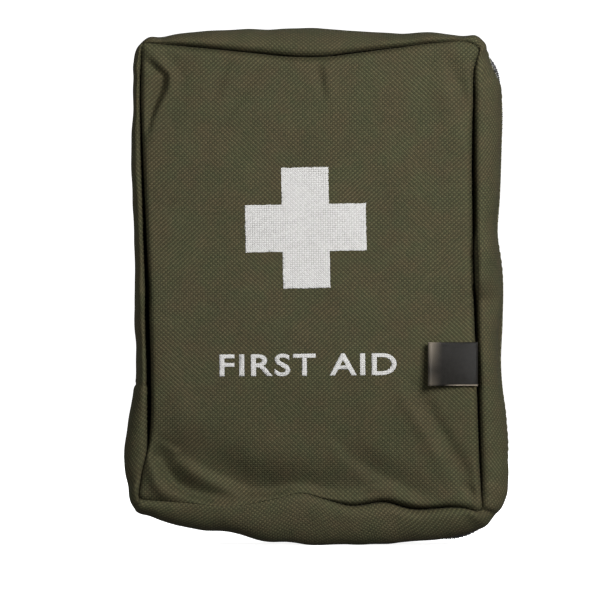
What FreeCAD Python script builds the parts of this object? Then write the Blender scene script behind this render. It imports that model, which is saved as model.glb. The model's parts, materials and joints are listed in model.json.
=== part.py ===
import FreeCAD, Part
import math
import os
import re

import Sketcher

# A zipped soft pouch that stands upright as two half shells: a cover (front, -Y) and a rear half.
# X runs across the pouch, Y from front to back and Z up. Y = 0 is the parting plane, where the
# two rows of zip teeth meet, and Z = 0 is the surface that the pouch stands on. Millimetres.
DIMENSIONS = {
    # whole pouch: a rounded outline, reached at the two full bands of the gussets
    "half_width": 69.1,
    "full_base": 0,
    "full_top": 190,
    "base_radius": 22,
    "crown_radius": 19,
    "wall": 1.2,
    "seam_gap": 0.1,
    # front and rear panels are smaller than the full outline, so the gussets slope to them
    "front_face": -34,
    "front_left": -64.4,
    "front_right": 59.1,
    "front_base": 12,
    "front_top": 182,
    "panel_radius": 5,
    "rear_face": 28,
    "rear_left": -66,
    "rear_right": 65,
    "rear_base": 4,
    "rear_top": 186,
    "rear_radius": 14,
    "front_band_near": -22,
    "front_band_far": -14,
    "rear_band_near": 12,
    "rear_band_far": 23,
    "rim_depth": 6.5,
    "rim_inset": 4,
    "binding_width": 2.6,
    "binding_depth": 2,
    # zip: each half has a tape under its rim and a coil on the tape's outer face
    "tape_inset": 5.2,
    "tape_thick": 0.8,
    "tape_depth": 12,
    "tooth_gap": 0.65,
    "coil_depth": 3.9,
    "coil_high": 1.6,
    "zip_end_high": 152,
    "zip_end_low": 59,
    "stop_long": 2,
    # sliders: plates over and under the coils, joined by a web between them
    "slider_place": 7.5,
    "slider_long": 12,
    "slider_half_wide": 4.6,
    "slider_plate": 1.0,
    "slider_play": 0.2,
    "web_half": 0.5,
    "bridge_high": 1.4,
    "bridge_long": 6,
    "bridge_bar": 1.0,
    "bridge_half": 1.5,
    "pull_long": 20,
    "pull_thick": 1.0,
    "pull_half_wide": 3.4,
    "pull_window": 4.2,
    "pull_pin": 0.55,
    "pull_heel": 0.3,
    # fabric hinge on the left side, an arch between the two rims
    "hinge_x": -69.4,
    "strip_low": 62,
    "strip_high": 149,
    "strip_half": 5.9,
    "strip_bulge": 0.8,
    "strip_radius": 14,
    # cross printed on the front panel
    "cross_x": -4.9,
    "cross_z": 116.6,
    "cross_span": 44.5,
    "cross_bar": 17.3,
    "print_thick": 0.3,
    # folded side tag, held in the right front seam
    "tag_root": 58.9,
    "tag_long": 18.9,
    "tag_low": 57.7,
    "tag_high": 74,
    "tag_thick": 1.2,
    "tag_lift": 0.7,
    "tag_gap": 0.3,
    # organiser panel and the contents of the rear half
    "organiser_inset": 4.2,
    "organiser_front": 25.6,
    "roll_gap": 0.2,
    "elastic_gap": 0.1,
    "elastic_thick": 1.2,
    "roll_base": 14,
    "large_crepe_x": -38,
    "large_crepe_radius": 20,
    "large_crepe_long": 76,
    "large_gauze_x": 3,
    "large_gauze_radius": 17.5,
    "large_gauze_long": 72,
    "right_column_x": 41.5,
    "spool_radius": 17.6,
    "spool_high": 27,
    "spool_flange": 1.2,
    "spool_core": 10.6,
    "spool_bore": 9,
    "adhesive_radius": 16.4,
    "small_gauze_radius": 15,
    "small_gauze_base": 45,
    "small_gauze_long": 45,
    "small_crepe_x": 19,
    "small_crepe_radius": 16,
    "small_crepe_base": 98,
    "small_crepe_long": 68,
    "roll_core": 3,
    "elastic_low": 52,
    "elastic_high": 72,
    "spool_elastic_low": 21,
    "spool_elastic_high": 33,
    "upper_elastic_low": 124,
    "upper_elastic_high": 144,
    "dressing_left": -61,
    "dressing_right": -1,
    "dressing_base": 98,
    "dressing_top": 172,
    "dressing_deep": 26,
    "triangular_left": 39,
    "triangular_right": 61,
    "triangular_top": 168,
    "triangular_deep": 22,
    "pack_round": 4,
    # mesh pocket on the inside of the cover, and what is in it
    "pocket_left": -59,
    "pocket_right": 54,
    "pocket_base": 17,
    "pocket_top": 88,
    "pocket_face": -17.6,
    "mesh_thick": 0.8,
    "pocket_edge": 6,
    "leaflet_left": -40,
    "leaflet_right": 34,
    "leaflet_top": 86,
    "leaflet_thick": 1.2,
    "sachet_gap": 0.2,
    "compress_left": -56,
    "compress_wide": 48,
    "compress_high": 62,
    "compress_thick": 3,
    "glove_left": -3,
    "glove_wide": 52,
    "glove_high": 56,
    "glove_thick": 4.4,
    "blanket_high": 64,
    "blanket_thick": 6.6,
    "plaster_high": 70,
    "plaster_thick": 2.4,
    # wipes under a band, scissors and tweezers in the upper part of the cover
    "wipe_left": 21,
    "wipe_wide": 32,
    "wipe_base": 92,
    "wipe_high": 38,
    "wipe_thick": 1.6,
    "band_low": 98,
    "band_high": 108,
    "tool_gap": 0.2,
    "scissors_x": 2,
    "scissors_z": 134,
    "scissors_thick": 1.7,
    "scissors_layer": 0.2,
    "blade_long": 40,
    "blade_half": 4,
    "blade_shoulder": 6,
    "blade_taper": 1.6,
    "blade_tip": 1,
    "ring_rise": 33,
    "ring_side": 10.5,
    "ring_outer": 10,
    "ring_inner": 7.4,
    "rivet_radius": 1.9,
    "rivet_play": 0.2,
    "rivet_head": 3.2,
    "rivet_head_thick": 0.8,
    "keeper_thick": 0.9,
    "keeper_half": 3,
    "ring_limb": 3.2,
    "tweezers_x": -49,
    "tweezers_tip": 98,
    "tweezers_tail": 172,
    "tweezers_tail_half": 4.5,
    "tweezers_tip_half": 1.2,
    "tweezers_thick": 1.0,
    "tweezers_open": 7.2,
    "tweezers_keeper_low": 158,
    "tweezers_keeper_high": 166,
    # carrying webbing on the back: two sewn rows and two bowed belt straps with snaps
    "webbing_thick": 1.4,
    "webbing_left": -59,
    "webbing_right": 58,
    "webbing_wide": 25,
    "webbing_upper": 118,
    "webbing_lower": 52,
    "strap_x": 24,
    "strap_wide": 25,
    "strap_thick": 1.5,
    "strap_low": 46,
    "strap_high": 150,
    "strap_clear": 0.4,
    "strap_bow": 6.1,
    "anchor_long": 10,
    "snap_z": 64,
    "snap_cap_radius": 7.5,
    "snap_cap_thick": 1.6,
    "snap_stud_radius": 4.5,
    "snap_stud_high": 1.4,
}

doc = FreeCAD.newDocument("FirstAidKit")
sheet = doc.addObject("Spreadsheet::Sheet", "Sizes")
for row, (alias, number) in enumerate(DIMENSIONS.items(), start=1):
    sheet.set(f"A{row}", alias)
    sheet.set(f"B{row}", str(number))
    sheet.setAlias(f"B{row}", alias)
doc.recompute()

ORIGIN_POINT = (-1, 1)      # how a sketch constraint names the sketch's origin
START, END, CENTRE = 1, 2, 3
nodes = []                  # every finished sub-part, in the order of building


def cells(formula):
    """Write a formula's dimension names as references to the sheet's cells."""
    return re.sub(r"[a-z]\w*", lambda word: "Sizes." + word[0] if word[0] in DIMENSIONS else word[0],
                  str(formula))


def value(formula):
    """The number that a formula gives with the sheet's present sizes."""
    return float(sheet.evalExpression(cells(formula)))


def bind(thing, prop, formula):
    """Tie one property of a document object to a formula of the sheet's cells."""
    thing.setExpression(prop, cells(formula))


def finish(thing, label):
    """Give a finished sub-part its name and list it for export."""
    thing.Label = label
    nodes.append(thing)
    return thing


# ---------------------------------------------------------------- sketches and PartDesign bodies
def new_body(name):
    return doc.addObject("PartDesign::Body", "Body_" + name)


def new_sketch(body, role, lift):
    """A sketch on one of the body's origin planes, lifted along that plane's normal."""
    sketch = body.newObject("Sketcher::SketchObject", body.Name + "_sketch")
    plane = [feature for feature in body.Origin.OriginFeatures if feature.Role == role][0]
    sketch.AttachmentSupport = [(plane, "")]
    sketch.MapMode = "FlatFace"
    bind(sketch, "AttachmentOffset.Base.z", lift)
    return sketch


def constrain(sketch, kind, first, second, formula=None):
    """A dimension from one sketch point to another, bound to the sheet."""
    number = sketch.addConstraint(Sketcher.Constraint(kind, *first, *second, value(formula)))
    bind(sketch, f"Constraints[{number}]", formula)


def add_rounded_rectangle(sketch, left, right, low, high, low_radius, high_radius):
    """Four lines and four arcs, the two lower corners with one radius and the upper with another."""
    x0, x1, y0, y1 = value(left), value(right), value(low), value(high)
    r0, r1 = value(low_radius), value(high_radius)

    def line(xa, ya, xb, yb):
        return Part.LineSegment(FreeCAD.Vector(xa, ya, 0), FreeCAD.Vector(xb, yb, 0))

    def arc(x, y, radius, start):
        circle = Part.Circle(FreeCAD.Vector(x, y, 0), FreeCAD.Vector(0, 0, 1), radius)
        return Part.ArcOfCircle(circle, math.radians(start), math.radians(start + 90))

    first = sketch.addGeometry([
        line(x0 + r0, y0, x1 - r0, y0),
        arc(x1 - r0, y0 + r0, r0, -90),
        line(x1, y0 + r0, x1, y1 - r1),
        arc(x1 - r1, y1 - r1, r1, 0),
        line(x1 - r1, y1, x0 + r1, y1),
        arc(x0 + r1, y1 - r1, r1, 90),
        line(x0, y1 - r1, x0, y0 + r0),
        arc(x0 + r0, y0 + r0, r0, 180),
    ], False)[0]
    edges = [first + step for step in range(8)]
    for step in range(8):
        sketch.addConstraint(Sketcher.Constraint("Tangent", edges[step], END, edges[(step + 1) % 8], START))
    for step, kind in ((0, "Horizontal"), (2, "Vertical"), (4, "Horizontal"), (6, "Vertical")):
        sketch.addConstraint(Sketcher.Constraint(kind, edges[step]))
    for step, radius in ((1, low_radius), (3, high_radius), (5, high_radius), (7, low_radius)):
        number = sketch.addConstraint(Sketcher.Constraint("Radius", edges[step], value(radius)))
        bind(sketch, f"Constraints[{number}]", radius)
    constrain(sketch, "DistanceY", ORIGIN_POINT, (edges[0], START), low)
    constrain(sketch, "DistanceX", ORIGIN_POINT, (edges[2], START), right)
    constrain(sketch, "DistanceY", ORIGIN_POINT, (edges[4], START), high)
    constrain(sketch, "DistanceX", ORIGIN_POINT, (edges[6], START), left)


def add_polygon(sketch, points):
    """A closed outline through points given as pairs of formulas."""
    corners = [FreeCAD.Vector(value(u), value(v), 0) for u, v in points]
    count = len(corners)
    lines = [Part.LineSegment(corners[step], corners[(step + 1) % count]) for step in range(count)]
    first = sketch.addGeometry(lines, False)[0]
    for step in range(count):
        following = first + (step + 1) % count
        sketch.addConstraint(Sketcher.Constraint("Coincident", first + step, END, following, START))
    for step, (u, v) in enumerate(points):
        constrain(sketch, "DistanceX", ORIGIN_POINT, (first + step, START), u)
        constrain(sketch, "DistanceY", ORIGIN_POINT, (first + step, START), v)


def add_circle(sketch, u, v, radius):
    centre = FreeCAD.Vector(value(u), value(v), 0)
    edge = sketch.addGeometry(Part.Circle(centre, FreeCAD.Vector(0, 0, 1), value(radius)), False)
    number = sketch.addConstraint(Sketcher.Constraint("Radius", edge, value(radius)))
    bind(sketch, f"Constraints[{number}]", radius)
    constrain(sketch, "DistanceX", ORIGIN_POINT, (edge, CENTRE), u)
    constrain(sketch, "DistanceY", ORIGIN_POINT, (edge, CENTRE), v)


def add_feature(body, kind, sketch, length):
    """A pad or pocket of a sketch, its length bound to the sheet."""
    feature = body.newObject("PartDesign::" + kind, body.Name + "_" + kind.lower())
    feature.Profile = sketch
    bind(feature, "Length", length)
    body.Tip = feature
    return feature


def full_outline(inset):
    """The pouch's full outline, moved inwards all round."""
    return (f"-half_width + ({inset})", f"half_width - ({inset})", f"full_base + ({inset})",
            f"full_top - ({inset})", f"base_radius - ({inset})", f"crown_radius - ({inset})")


def front_outline(inset, radius="panel_radius"):
    return (f"front_left + ({inset})", f"front_right - ({inset})", f"front_base + ({inset})",
            f"front_top - ({inset})", radius, radius)


def rear_outline(inset, radius="rear_radius"):
    return (f"rear_left + ({inset})", f"rear_right - ({inset})", f"rear_base + ({inset})",
            f"rear_top - ({inset})", radius, radius)


def upright_plate(label, outlines, y_front, y_back):
    """A flat plate, or a ring where a second outline is given, from y_front to y_back."""
    body = new_body(label)
    sketch = new_sketch(body, "XZ_Plane", f"-({y_back})")
    for outline in outlines:
        add_rounded_rectangle(sketch, *outline)
    add_feature(body, "Pad", sketch, f"({y_back}) - ({y_front})")
    return finish(body, label)


def gusset(label, outer_stations, inner_stations):
    """A hollow ring lofted through rounded outlines at several depths."""
    body = new_body(label)
    for kind, stations in (("AdditiveLoft", outer_stations), ("SubtractiveLoft", inner_stations)):
        sketches = []
        for depth, outline in stations:
            sketch = new_sketch(body, "XZ_Plane", f"-({depth})")
            add_rounded_rectangle(sketch, *outline)
            sketches.append(sketch)
        doc.recompute()
        loft = body.newObject("PartDesign::" + kind, label + "_" + kind)
        loft.Profile = sketches[0]
        loft.Sections = sketches[1:]
        loft.Ruled = True
        body.Tip = loft
    return finish(body, label)


def zip_ring(label, outer_inset, inner_inset, y_front, y_back):
    """A ring that follows the pouch's outline, open along the fabric hinge."""
    body = new_body(label)
    sketch = new_sketch(body, "XZ_Plane", f"-({y_back})")
    add_rounded_rectangle(sketch, *full_outline(outer_inset))
    add_rounded_rectangle(sketch, *full_outline(inner_inset))
    add_feature(body, "Pad", sketch, f"({y_back}) - ({y_front})")
    gap = new_sketch(body, "XZ_Plane", f"-({y_back})")
    add_polygon(gap, [("hinge_x", "zip_end_low"), ("-half_width + base_radius", "zip_end_low"),
                      ("-half_width + base_radius", "zip_end_high"), ("hinge_x", "zip_end_high")])
    opening = add_feature(body, "Pocket", gap, f"({y_back}) - ({y_front})")
    opening.Reversed = True
    return finish(body, label)


# ---------------------------------------------------------------- Part primitives and booleans
def box(name, x_low, x_high, y_low, y_high, z_low, z_high):
    block = doc.addObject("Part::Box", name)
    for side, low, high, axis in (("Length", x_low, x_high, "x"), ("Width", y_low, y_high, "y"),
                                  ("Height", z_low, z_high, "z")):
        bind(block, side, f"({high}) - ({low})")
        bind(block, "Placement.Base." + axis, low)
    return block


UPRIGHT = FreeCAD.Rotation(FreeCAD.Vector(0, 0, 1), 0)
HALF_TURN = FreeCAD.Rotation(FreeCAD.Vector(0, 0, 1), 180)
ALONG_X = FreeCAD.Rotation(FreeCAD.Vector(0, 1, 0), 90)
ALONG_Y = FreeCAD.Rotation(FreeCAD.Vector(1, 0, 0), -90)


def cylinder(name, x, y, z, radius, height, turn=UPRIGHT):
    """A cylinder from its base centre, along +Z, or along +X or +Y when turned."""
    rod = doc.addObject("Part::Cylinder", name)
    rod.Placement = FreeCAD.Placement(FreeCAD.Vector(0, 0, 0), turn)
    bind(rod, "Radius", radius)
    bind(rod, "Height", height)
    for axis, place in (("x", x), ("y", y), ("z", z)):
        bind(rod, "Placement.Base." + axis, place)
    return rod


def cut(name, base, tool):
    result = doc.addObject("Part::Cut", name)
    result.Base = base
    result.Tool = tool
    return result


def fuse(name, pieces):
    result = doc.addObject("Part::MultiFuse", name)
    result.Shapes = pieces
    return result


def group(name, pieces):
    """Several separate solids that share one node."""
    result = doc.addObject("Part::Compound", name)
    result.Links = pieces
    return result


def round_edges(name, block, radius):
    """The same block with all twelve edges rounded."""
    doc.recompute()
    rounded = doc.addObject("Part::Fillet", name)
    rounded.Base = block
    rounded.Edges = [(number, value(radius), value(radius)) for number in range(1, 13)]
    return rounded


def roll(label, x, radius, base, length, core="roll_core"):
    """A wound roll standing against the organiser panel."""
    y = f"organiser_front - roll_gap - {radius}"
    body = cylinder(label + "_body", x, y, base, radius, length)
    bore = cylinder(label + "_bore", x, y, base, core, length)
    return finish(cut(label + "_roll", body, bore), label)


def elastic_loop(name, x, radius, low, high):
    """A band over the front of a roll, with both ends straight back to the organiser panel."""
    y = f"organiser_front - roll_gap - {radius}"

    def tunnel(part_name, half, extra):
        bottom, top = f"{low} - {extra}", f"{high} + {extra}"
        arch = cylinder(part_name + "_arch", x, y, bottom, half, f"({top}) - ({bottom})", HALF_TURN)
        arch.Angle = 180
        legs = box(part_name + "_legs", f"{x} - ({half})", f"{x} + ({half})", y,
                   f"organiser_front + {extra}", bottom, top)
        return fuse(part_name, [arch, legs])

    outside = tunnel(name + "_outside", f"{radius} + elastic_gap + elastic_thick", "0")
    inside = tunnel(name + "_inside", f"{radius} + elastic_gap", "1")
    return cut(name, outside, inside)


def keeper(label, x_low, x_high, z_low, z_high, y_top):
    """A flat band sewn to the inside of the front panel, bridging whatever it holds."""
    floor = "front_face + wall"
    outside = box(label + "_outside", f"{x_low} - keeper_thick", f"{x_high} + keeper_thick", floor,
                  f"{y_top} + keeper_thick", z_low, z_high)
    inside = box(label + "_inside", x_low, x_high, f"{floor} - 1", y_top, f"{z_low} - 1", f"{z_high} + 1")
    return finish(cut(label + "_band", outside, inside), label)


# ---------------------------------------------------------------- shells, seams and print
def build_shells():
    upright_plate("front_panel", [front_outline("wall + seam_gap", "panel_radius - wall")],
                  "front_face", "front_face + wall")
    upright_plate("rear_panel", [rear_outline("wall + seam_gap", "rear_radius - wall")],
                  "rear_face - wall", "rear_face")
    gusset("front_gusset",
           [("front_face", front_outline("0")),
            ("front_band_near", full_outline("0")),
            ("front_band_far", full_outline("0")),
            ("-rim_depth", full_outline("rim_inset"))],
           [("front_face", front_outline("wall", "panel_radius - wall")),
            ("front_band_near", full_outline("wall")),
            ("front_band_far", full_outline("wall")),
            ("-rim_depth", full_outline("rim_inset + wall"))])
    gusset("rear_gusset",
           [("rim_depth", full_outline("rim_inset")),
            ("rear_band_near", full_outline("0")),
            ("rear_band_far", full_outline("0")),
            ("rear_face", rear_outline("0"))],
           [("rim_depth", full_outline("rim_inset + wall")),
            ("rear_band_near", full_outline("wall")),
            ("rear_band_far", full_outline("wall")),
            ("rear_face", rear_outline("wall", "rear_radius - wall"))])
    binding_edge = "wall + 3 * seam_gap"
    binding_inner = "wall + 3 * seam_gap + binding_width"
    upright_plate("front_seam_binding",
                  [front_outline(binding_edge, "panel_radius - wall"),
                   front_outline(binding_inner, "panel_radius - binding_width")],
                  "front_face + wall", "front_face + wall + binding_depth")
    upright_plate("rear_seam_binding",
                  [rear_outline(binding_edge, "rear_radius - wall"),
                   rear_outline(binding_inner, "rear_radius - binding_width")],
                  "rear_face - wall - binding_depth", "rear_face - wall")


def build_cross():
    """A cross of two equal bars, twelve corners, as a film on the front panel."""
    body = new_body("cross_print")
    sketch = new_sketch(body, "XZ_Plane", "-front_face")
    arm, bar = "cross_span / 2", "cross_bar / 2"
    quarter = [(arm, bar), (bar, bar), (bar, arm)]
    turns = [lambda u, v: (u, v), lambda u, v: ("-" + v, u), lambda u, v: ("-" + u, "-" + v),
             lambda u, v: (v, "-" + u)]
    corners = [turn(u, v) for turn in turns for u, v in quarter]
    add_polygon(sketch, [(f"cross_x + ({u})", f"cross_z + ({v})") for u, v in corners])
    add_feature(body, "Pad", sketch, "print_thick")
    finish(body, "cross_print")


def build_side_tag():
    """A folded tag that lies on the front panel and lifts a little towards its folded end."""
    body = new_body("side_tag")
    sketch = new_sketch(body, "XY_Plane", "tag_low")
    tip = "tag_root - tag_long"
    back = "front_face - tag_gap"
    add_polygon(sketch, [("tag_root", back), (tip, f"{back} - tag_lift"),
                         (tip, f"{back} - tag_lift - tag_thick"), ("tag_root", f"{back} - tag_thick / 2")])
    add_feature(body, "Pad", sketch, "tag_high - tag_low")
    finish(body, "side_tag")


# ---------------------------------------------------------------- zip and fabric hinge
def build_zip():
    tape_inner = "tape_inset + tape_thick"
    coil_outer = "tape_inset - coil_high"
    for side, near, tape_far, coil_far in (("front", "-tooth_gap", "-tape_depth", "-coil_depth"),
                                           ("rear", "tooth_gap", "tape_depth", "coil_depth")):
        tape_edges = (tape_far, near) if side == "front" else (near, tape_far)
        coil_edges = (coil_far, near) if side == "front" else (near, coil_far)
        zip_ring("zip_tape_" + side, "tape_inset", tape_inner, *tape_edges)
        zip_ring("zip_coil_" + side, coil_outer, "tape_inset", *coil_edges)
        stops = []
        for end, low, high in (("high", "zip_end_high - stop_long", "zip_end_high"),
                               ("low", "zip_end_low", "zip_end_low + stop_long")):
            stops.append(box(f"stop_{side}_{end}", f"-half_width + {coil_outer}",
                             f"-half_width + {tape_inner}", *coil_edges, low, high))
        finish(group("stops_" + side, stops), "zip_stops_" + side)


def build_sliders():
    """Two sliders nose to nose at the middle of the top, each with a pull lying outwards."""
    coil_top = "full_top - tape_inset + coil_high"
    tape_under = "full_top - tape_inset - tape_thick"
    plate_low = f"{coil_top} + slider_play"
    plate_high = f"{plate_low} + slider_plate"
    keel_high = f"{tape_under} - slider_play"
    for side, way in (("left", "-1"), ("right", "1")):
        middle = f"{way} * slider_place"
        ends = (f"{middle} - slider_long / 2", f"{middle} + slider_long / 2")
        arch = (f"{middle} - bridge_long / 2", f"{middle} + bridge_long / 2")
        width = ("-slider_half_wide", "slider_half_wide")
        over = box("slider_over_" + side, *ends, *width, plate_low, plate_high)
        under = box("slider_under_" + side, *ends, *width, f"{keel_high} - slider_plate", keel_high)
        web = box("slider_web_" + side, f"{middle} - slider_long / 4", f"{middle} + slider_long / 4",
                  "-web_half", "web_half", keel_high, plate_low)
        bridge_block = box("bridge_block_" + side, *arch, "-bridge_half", "bridge_half",
                           plate_high, f"{plate_high} + bridge_high + bridge_bar")
        bridge_gap = box("bridge_gap_" + side, f"{arch[0]} + bridge_bar", f"{arch[1]} - bridge_bar",
                         "-bridge_half - 1", "bridge_half + 1", plate_high, f"{plate_high} + bridge_high")
        bridge = cut("bridge_" + side, bridge_block, bridge_gap)
        finish(fuse("slider_" + side, [over, under, web, bridge]), "zip_slider_" + side)
        build_pull(side, way, middle, f"{plate_high} + bridge_high / 2")


def build_pull(side, way, middle, pin_z):
    """A flat pull with a window at its head, whose round pin passes under the slider's bridge."""
    plate_low = f"{pin_z} - pull_thick / 2"
    plate_high = f"{pin_z} + pull_thick / 2"
    near, far = f"{middle} - {way} * pull_heel", f"{middle} + {way} * pull_long"
    ends = (far, near) if side == "left" else (near, far)
    window_near, window_far = f"{middle} - {way} * 2 * pull_heel", f"{middle} + {way} * pull_window"
    window_ends = (window_far, window_near) if side == "left" else (window_near, window_far)
    width = ("-pull_half_wide", "pull_half_wide")
    window_width = ("-bridge_half - slider_play", "bridge_half + slider_play")
    plate = box("pull_plate_" + side, *ends, *width, plate_low, plate_high)
    window_depth = (f"{plate_low} - 1", f"{plate_high} + 1")
    window = box("pull_window_" + side, *window_ends, *window_width, *window_depth)
    pin = cylinder("pull_pin_" + side, middle, width[0], pin_z, "pull_pin", "2 * pull_half_wide", ALONG_Y)
    open_plate = cut("pull_open_" + side, plate, window)
    finish(fuse("pull_" + side, [open_plate, pin]), "zip_pull_" + side)


def build_hinge_strip():
    """An arched band of webbing that joins the two rims along the left side."""
    centre = "-half_width + strip_bulge + strip_radius"
    length = "strip_high - strip_low"
    outside = cylinder("strip_outside", centre, "0", "strip_low", "strip_radius", length)
    inside = cylinder("strip_inside", centre, "0", "strip_low", "strip_radius - wall", length)
    shell = cut("strip_shell", outside, inside)
    keep = box("strip_keep", "-half_width", "-half_width + strip_radius / 2", "-strip_half", "strip_half",
               "strip_low", "strip_high")
    strip = doc.addObject("Part::Common", "strip")
    strip.Base = shell
    strip.Tool = keep
    finish(strip, "hinge_strip")


# ---------------------------------------------------------------- rear half contents
def build_rear_contents():
    upright_plate("organizer_panel", [rear_outline("organiser_inset", "rear_radius - binding_width")],
                  "organiser_front", "rear_face - wall")
    for label, place, radius, base, length in (
            ("crepe_bandage_large", "large_crepe_x", "large_crepe_radius", "roll_base", "large_crepe_long"),
            ("gauze_roll_large", "large_gauze_x", "large_gauze_radius", "roll_base", "large_gauze_long"),
            ("gauze_roll_small", "right_column_x", "small_gauze_radius", "small_gauze_base",
             "small_gauze_long"),
            ("crepe_bandage_small", "small_crepe_x", "small_crepe_radius", "small_crepe_base",
             "small_crepe_long")):
        roll(label, place, radius, base, length)
    build_tape_spool()
    lower = []
    for name, place, radius, low, high in (
            ("large_crepe", "large_crepe_x", "large_crepe_radius", "elastic_low", "elastic_high"),
            ("large_gauze", "large_gauze_x", "large_gauze_radius", "elastic_low", "elastic_high"),
            ("small_gauze", "right_column_x", "small_gauze_radius", "elastic_low", "elastic_high"),
            ("spool", "right_column_x", "spool_radius", "spool_elastic_low", "spool_elastic_high")):
        lower.append(elastic_loop("loop_" + name, place, radius, low, high))
    finish(group("lower_loops", lower), "roll_elastic_lower")
    upper = elastic_loop("loop_small_crepe", "small_crepe_x", "small_crepe_radius",
                         "upper_elastic_low", "upper_elastic_high")
    finish(upper, "roll_elastic_upper")
    for label, short in (("field_dressing", "dressing"), ("triangular_bandage", "triangular")):
        left, right, top, deep = (f"{short}_{word}" for word in ("left", "right", "top", "deep"))
        back = "organiser_front - roll_gap"
        block = box(label + "_block", left, right, f"{back} - {deep}", back, "dressing_base", top)
        finish(round_edges(label + "_soft", block, "pack_round"), label)


def build_tape_spool():
    """A flanged spool, turned about its own axis, with adhesive tape wound between its flanges."""
    y = "organiser_front - roll_gap - spool_radius"
    top = "roll_base + spool_high"
    place = ("right_column_x", y)
    core = cylinder("spool_tube", *place, "roll_base", "spool_core", "spool_high")
    lower = cylinder("spool_lower_flange", *place, "roll_base", "spool_radius", "spool_flange")
    upper = cylinder("spool_upper_flange", *place, f"{top} - spool_flange", "spool_radius", "spool_flange")
    bore = cylinder("spool_hole", *place, "roll_base - 1", "spool_bore", "spool_high + 2")
    finish(cut("spool", fuse("spool_blank", [core, lower, upper]), bore), "tape_spool")
    wound = cylinder("tape_outside", *place, "roll_base + spool_flange", "adhesive_radius",
                     "spool_high - 2 * spool_flange")
    hollow = cylinder("tape_inside", *place, "roll_base", "spool_core", "spool_high")
    finish(cut("wound_tape", wound, hollow), "adhesive_tape")


# ---------------------------------------------------------------- cover contents
def build_mesh_pocket():
    floor = "front_face + wall"
    outside = box("pocket_outside", "pocket_left", "pocket_right", floor, "pocket_face",
                  "pocket_base", "pocket_top")
    inside = box("pocket_inside", "pocket_left + mesh_thick", "pocket_right - mesh_thick", f"{floor} - 1",
                 "pocket_face - mesh_thick", "pocket_base + mesh_thick", "pocket_top + 1")
    finish(cut("pocket", outside, inside), "mesh_pocket")
    edge = box("pocket_edge_tape", "pocket_left", "pocket_right", "pocket_face", "pocket_face + mesh_thick",
               "pocket_top - pocket_edge", "pocket_top")
    finish(edge, "mesh_pocket_binding")


def flat_pack(name, left, wide, base, high, back, thick):
    """A flat packet that lies against the cover, its outer face at back and its inner at back + thick."""
    return box(name, left, f"{left} + {wide}", back, f"{back} + {thick}", base, f"{base} + {high}")


def build_pocket_contents():
    base = "pocket_base + mesh_thick + sachet_gap"
    first = "front_face + wall + sachet_gap"
    leaflet = flat_pack("leaflet", "leaflet_left", "leaflet_right - leaflet_left", base,
                        "leaflet_top - pocket_base - 1", first, "leaflet_thick")
    finish(leaflet, "instruction_leaflet")
    second = f"{first} + leaflet_thick + sachet_gap"
    packs = []
    for number in range(3):
        back = f"{second} + {number} * (compress_thick + sachet_gap)"
        packs.append(flat_pack(f"compress_{number + 1}", "compress_left", "compress_wide", base,
                               f"compress_high - {number} * pocket_edge / 2", back, "compress_thick"))
    finish(group("compresses", packs), "compress_packs")
    plaster_back = f"{second} + 3 * (compress_thick + sachet_gap)"
    finish(flat_pack("plasters", "compress_left", "compress_wide", base, "plaster_high", plaster_back,
                     "plaster_thick"), "plaster_strips")
    finish(flat_pack("gloves", "glove_left", "glove_wide", base, "glove_high", second, "glove_thick"),
           "glove_pack")
    blanket_back = f"{second} + glove_thick + sachet_gap"
    finish(flat_pack("blanket", "glove_left", "glove_wide", base, "blanket_high", blanket_back,
                     "blanket_thick"), "rescue_blanket_pack")


def build_wipes():
    first = "front_face + wall + sachet_gap"
    wipes = []
    for number in range(3):
        back = f"{first} + {number} * (wipe_thick + sachet_gap)"
        wipes.append(flat_pack(f"wipe_{number + 1}", "wipe_left", "wipe_wide", "wipe_base",
                               f"wipe_high + {number} * sachet_gap", back, "wipe_thick"))
    finish(group("wipes", wipes), "alcohol_wipes")
    keeper("wipe_band", "wipe_left - sachet_gap", "wipe_left + wipe_wide + sachet_gap",
           "band_low", "band_high", f"{first} + 3 * (wipe_thick + sachet_gap)")


def scissors_half(label, way, y_back):
    """One half: a tapering blade below the pivot, a shank above it and a finger ring at the top."""
    body = new_body(label)
    y_front = f"{y_back} - scissors_thick"
    blade = new_sketch(body, "XZ_Plane", f"-({y_back})")
    shank = "ring_rise - ring_inner"
    outline = [("-blade_half", "blade_shoulder"), ("-blade_half", "-blade_shoulder"),
               ("-blade_half + blade_taper", "-blade_long"), ("blade_tip", "-blade_long"),
               ("blade_half", "-blade_shoulder"), ("blade_half", "blade_half"),
               ("-ring_side + blade_shoulder", shank), ("-ring_side - blade_tip", shank)]
    points = [(f"scissors_x + {way} * ({u})", f"scissors_z + ({v})") for u, v in outline]
    add_polygon(blade, points)
    add_feature(body, "Pad", blade, "scissors_thick")
    ring = new_sketch(body, "XZ_Plane", f"-({y_back})")
    centre = (f"scissors_x - {way} * ring_side", "scissors_z + ring_rise")
    add_circle(ring, *centre, "ring_outer")
    add_feature(body, "Pad", ring, "scissors_thick")
    holes = ((*centre, "ring_inner"), ("scissors_x", "scissors_z", "rivet_radius + rivet_play"))
    for u, v, radius in holes:
        hole = new_sketch(body, "XZ_Plane", f"-({y_front})")
        add_circle(hole, u, v, radius)
        add_feature(body, "Pocket", hole, "scissors_thick")
    return finish(body, label)


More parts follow.
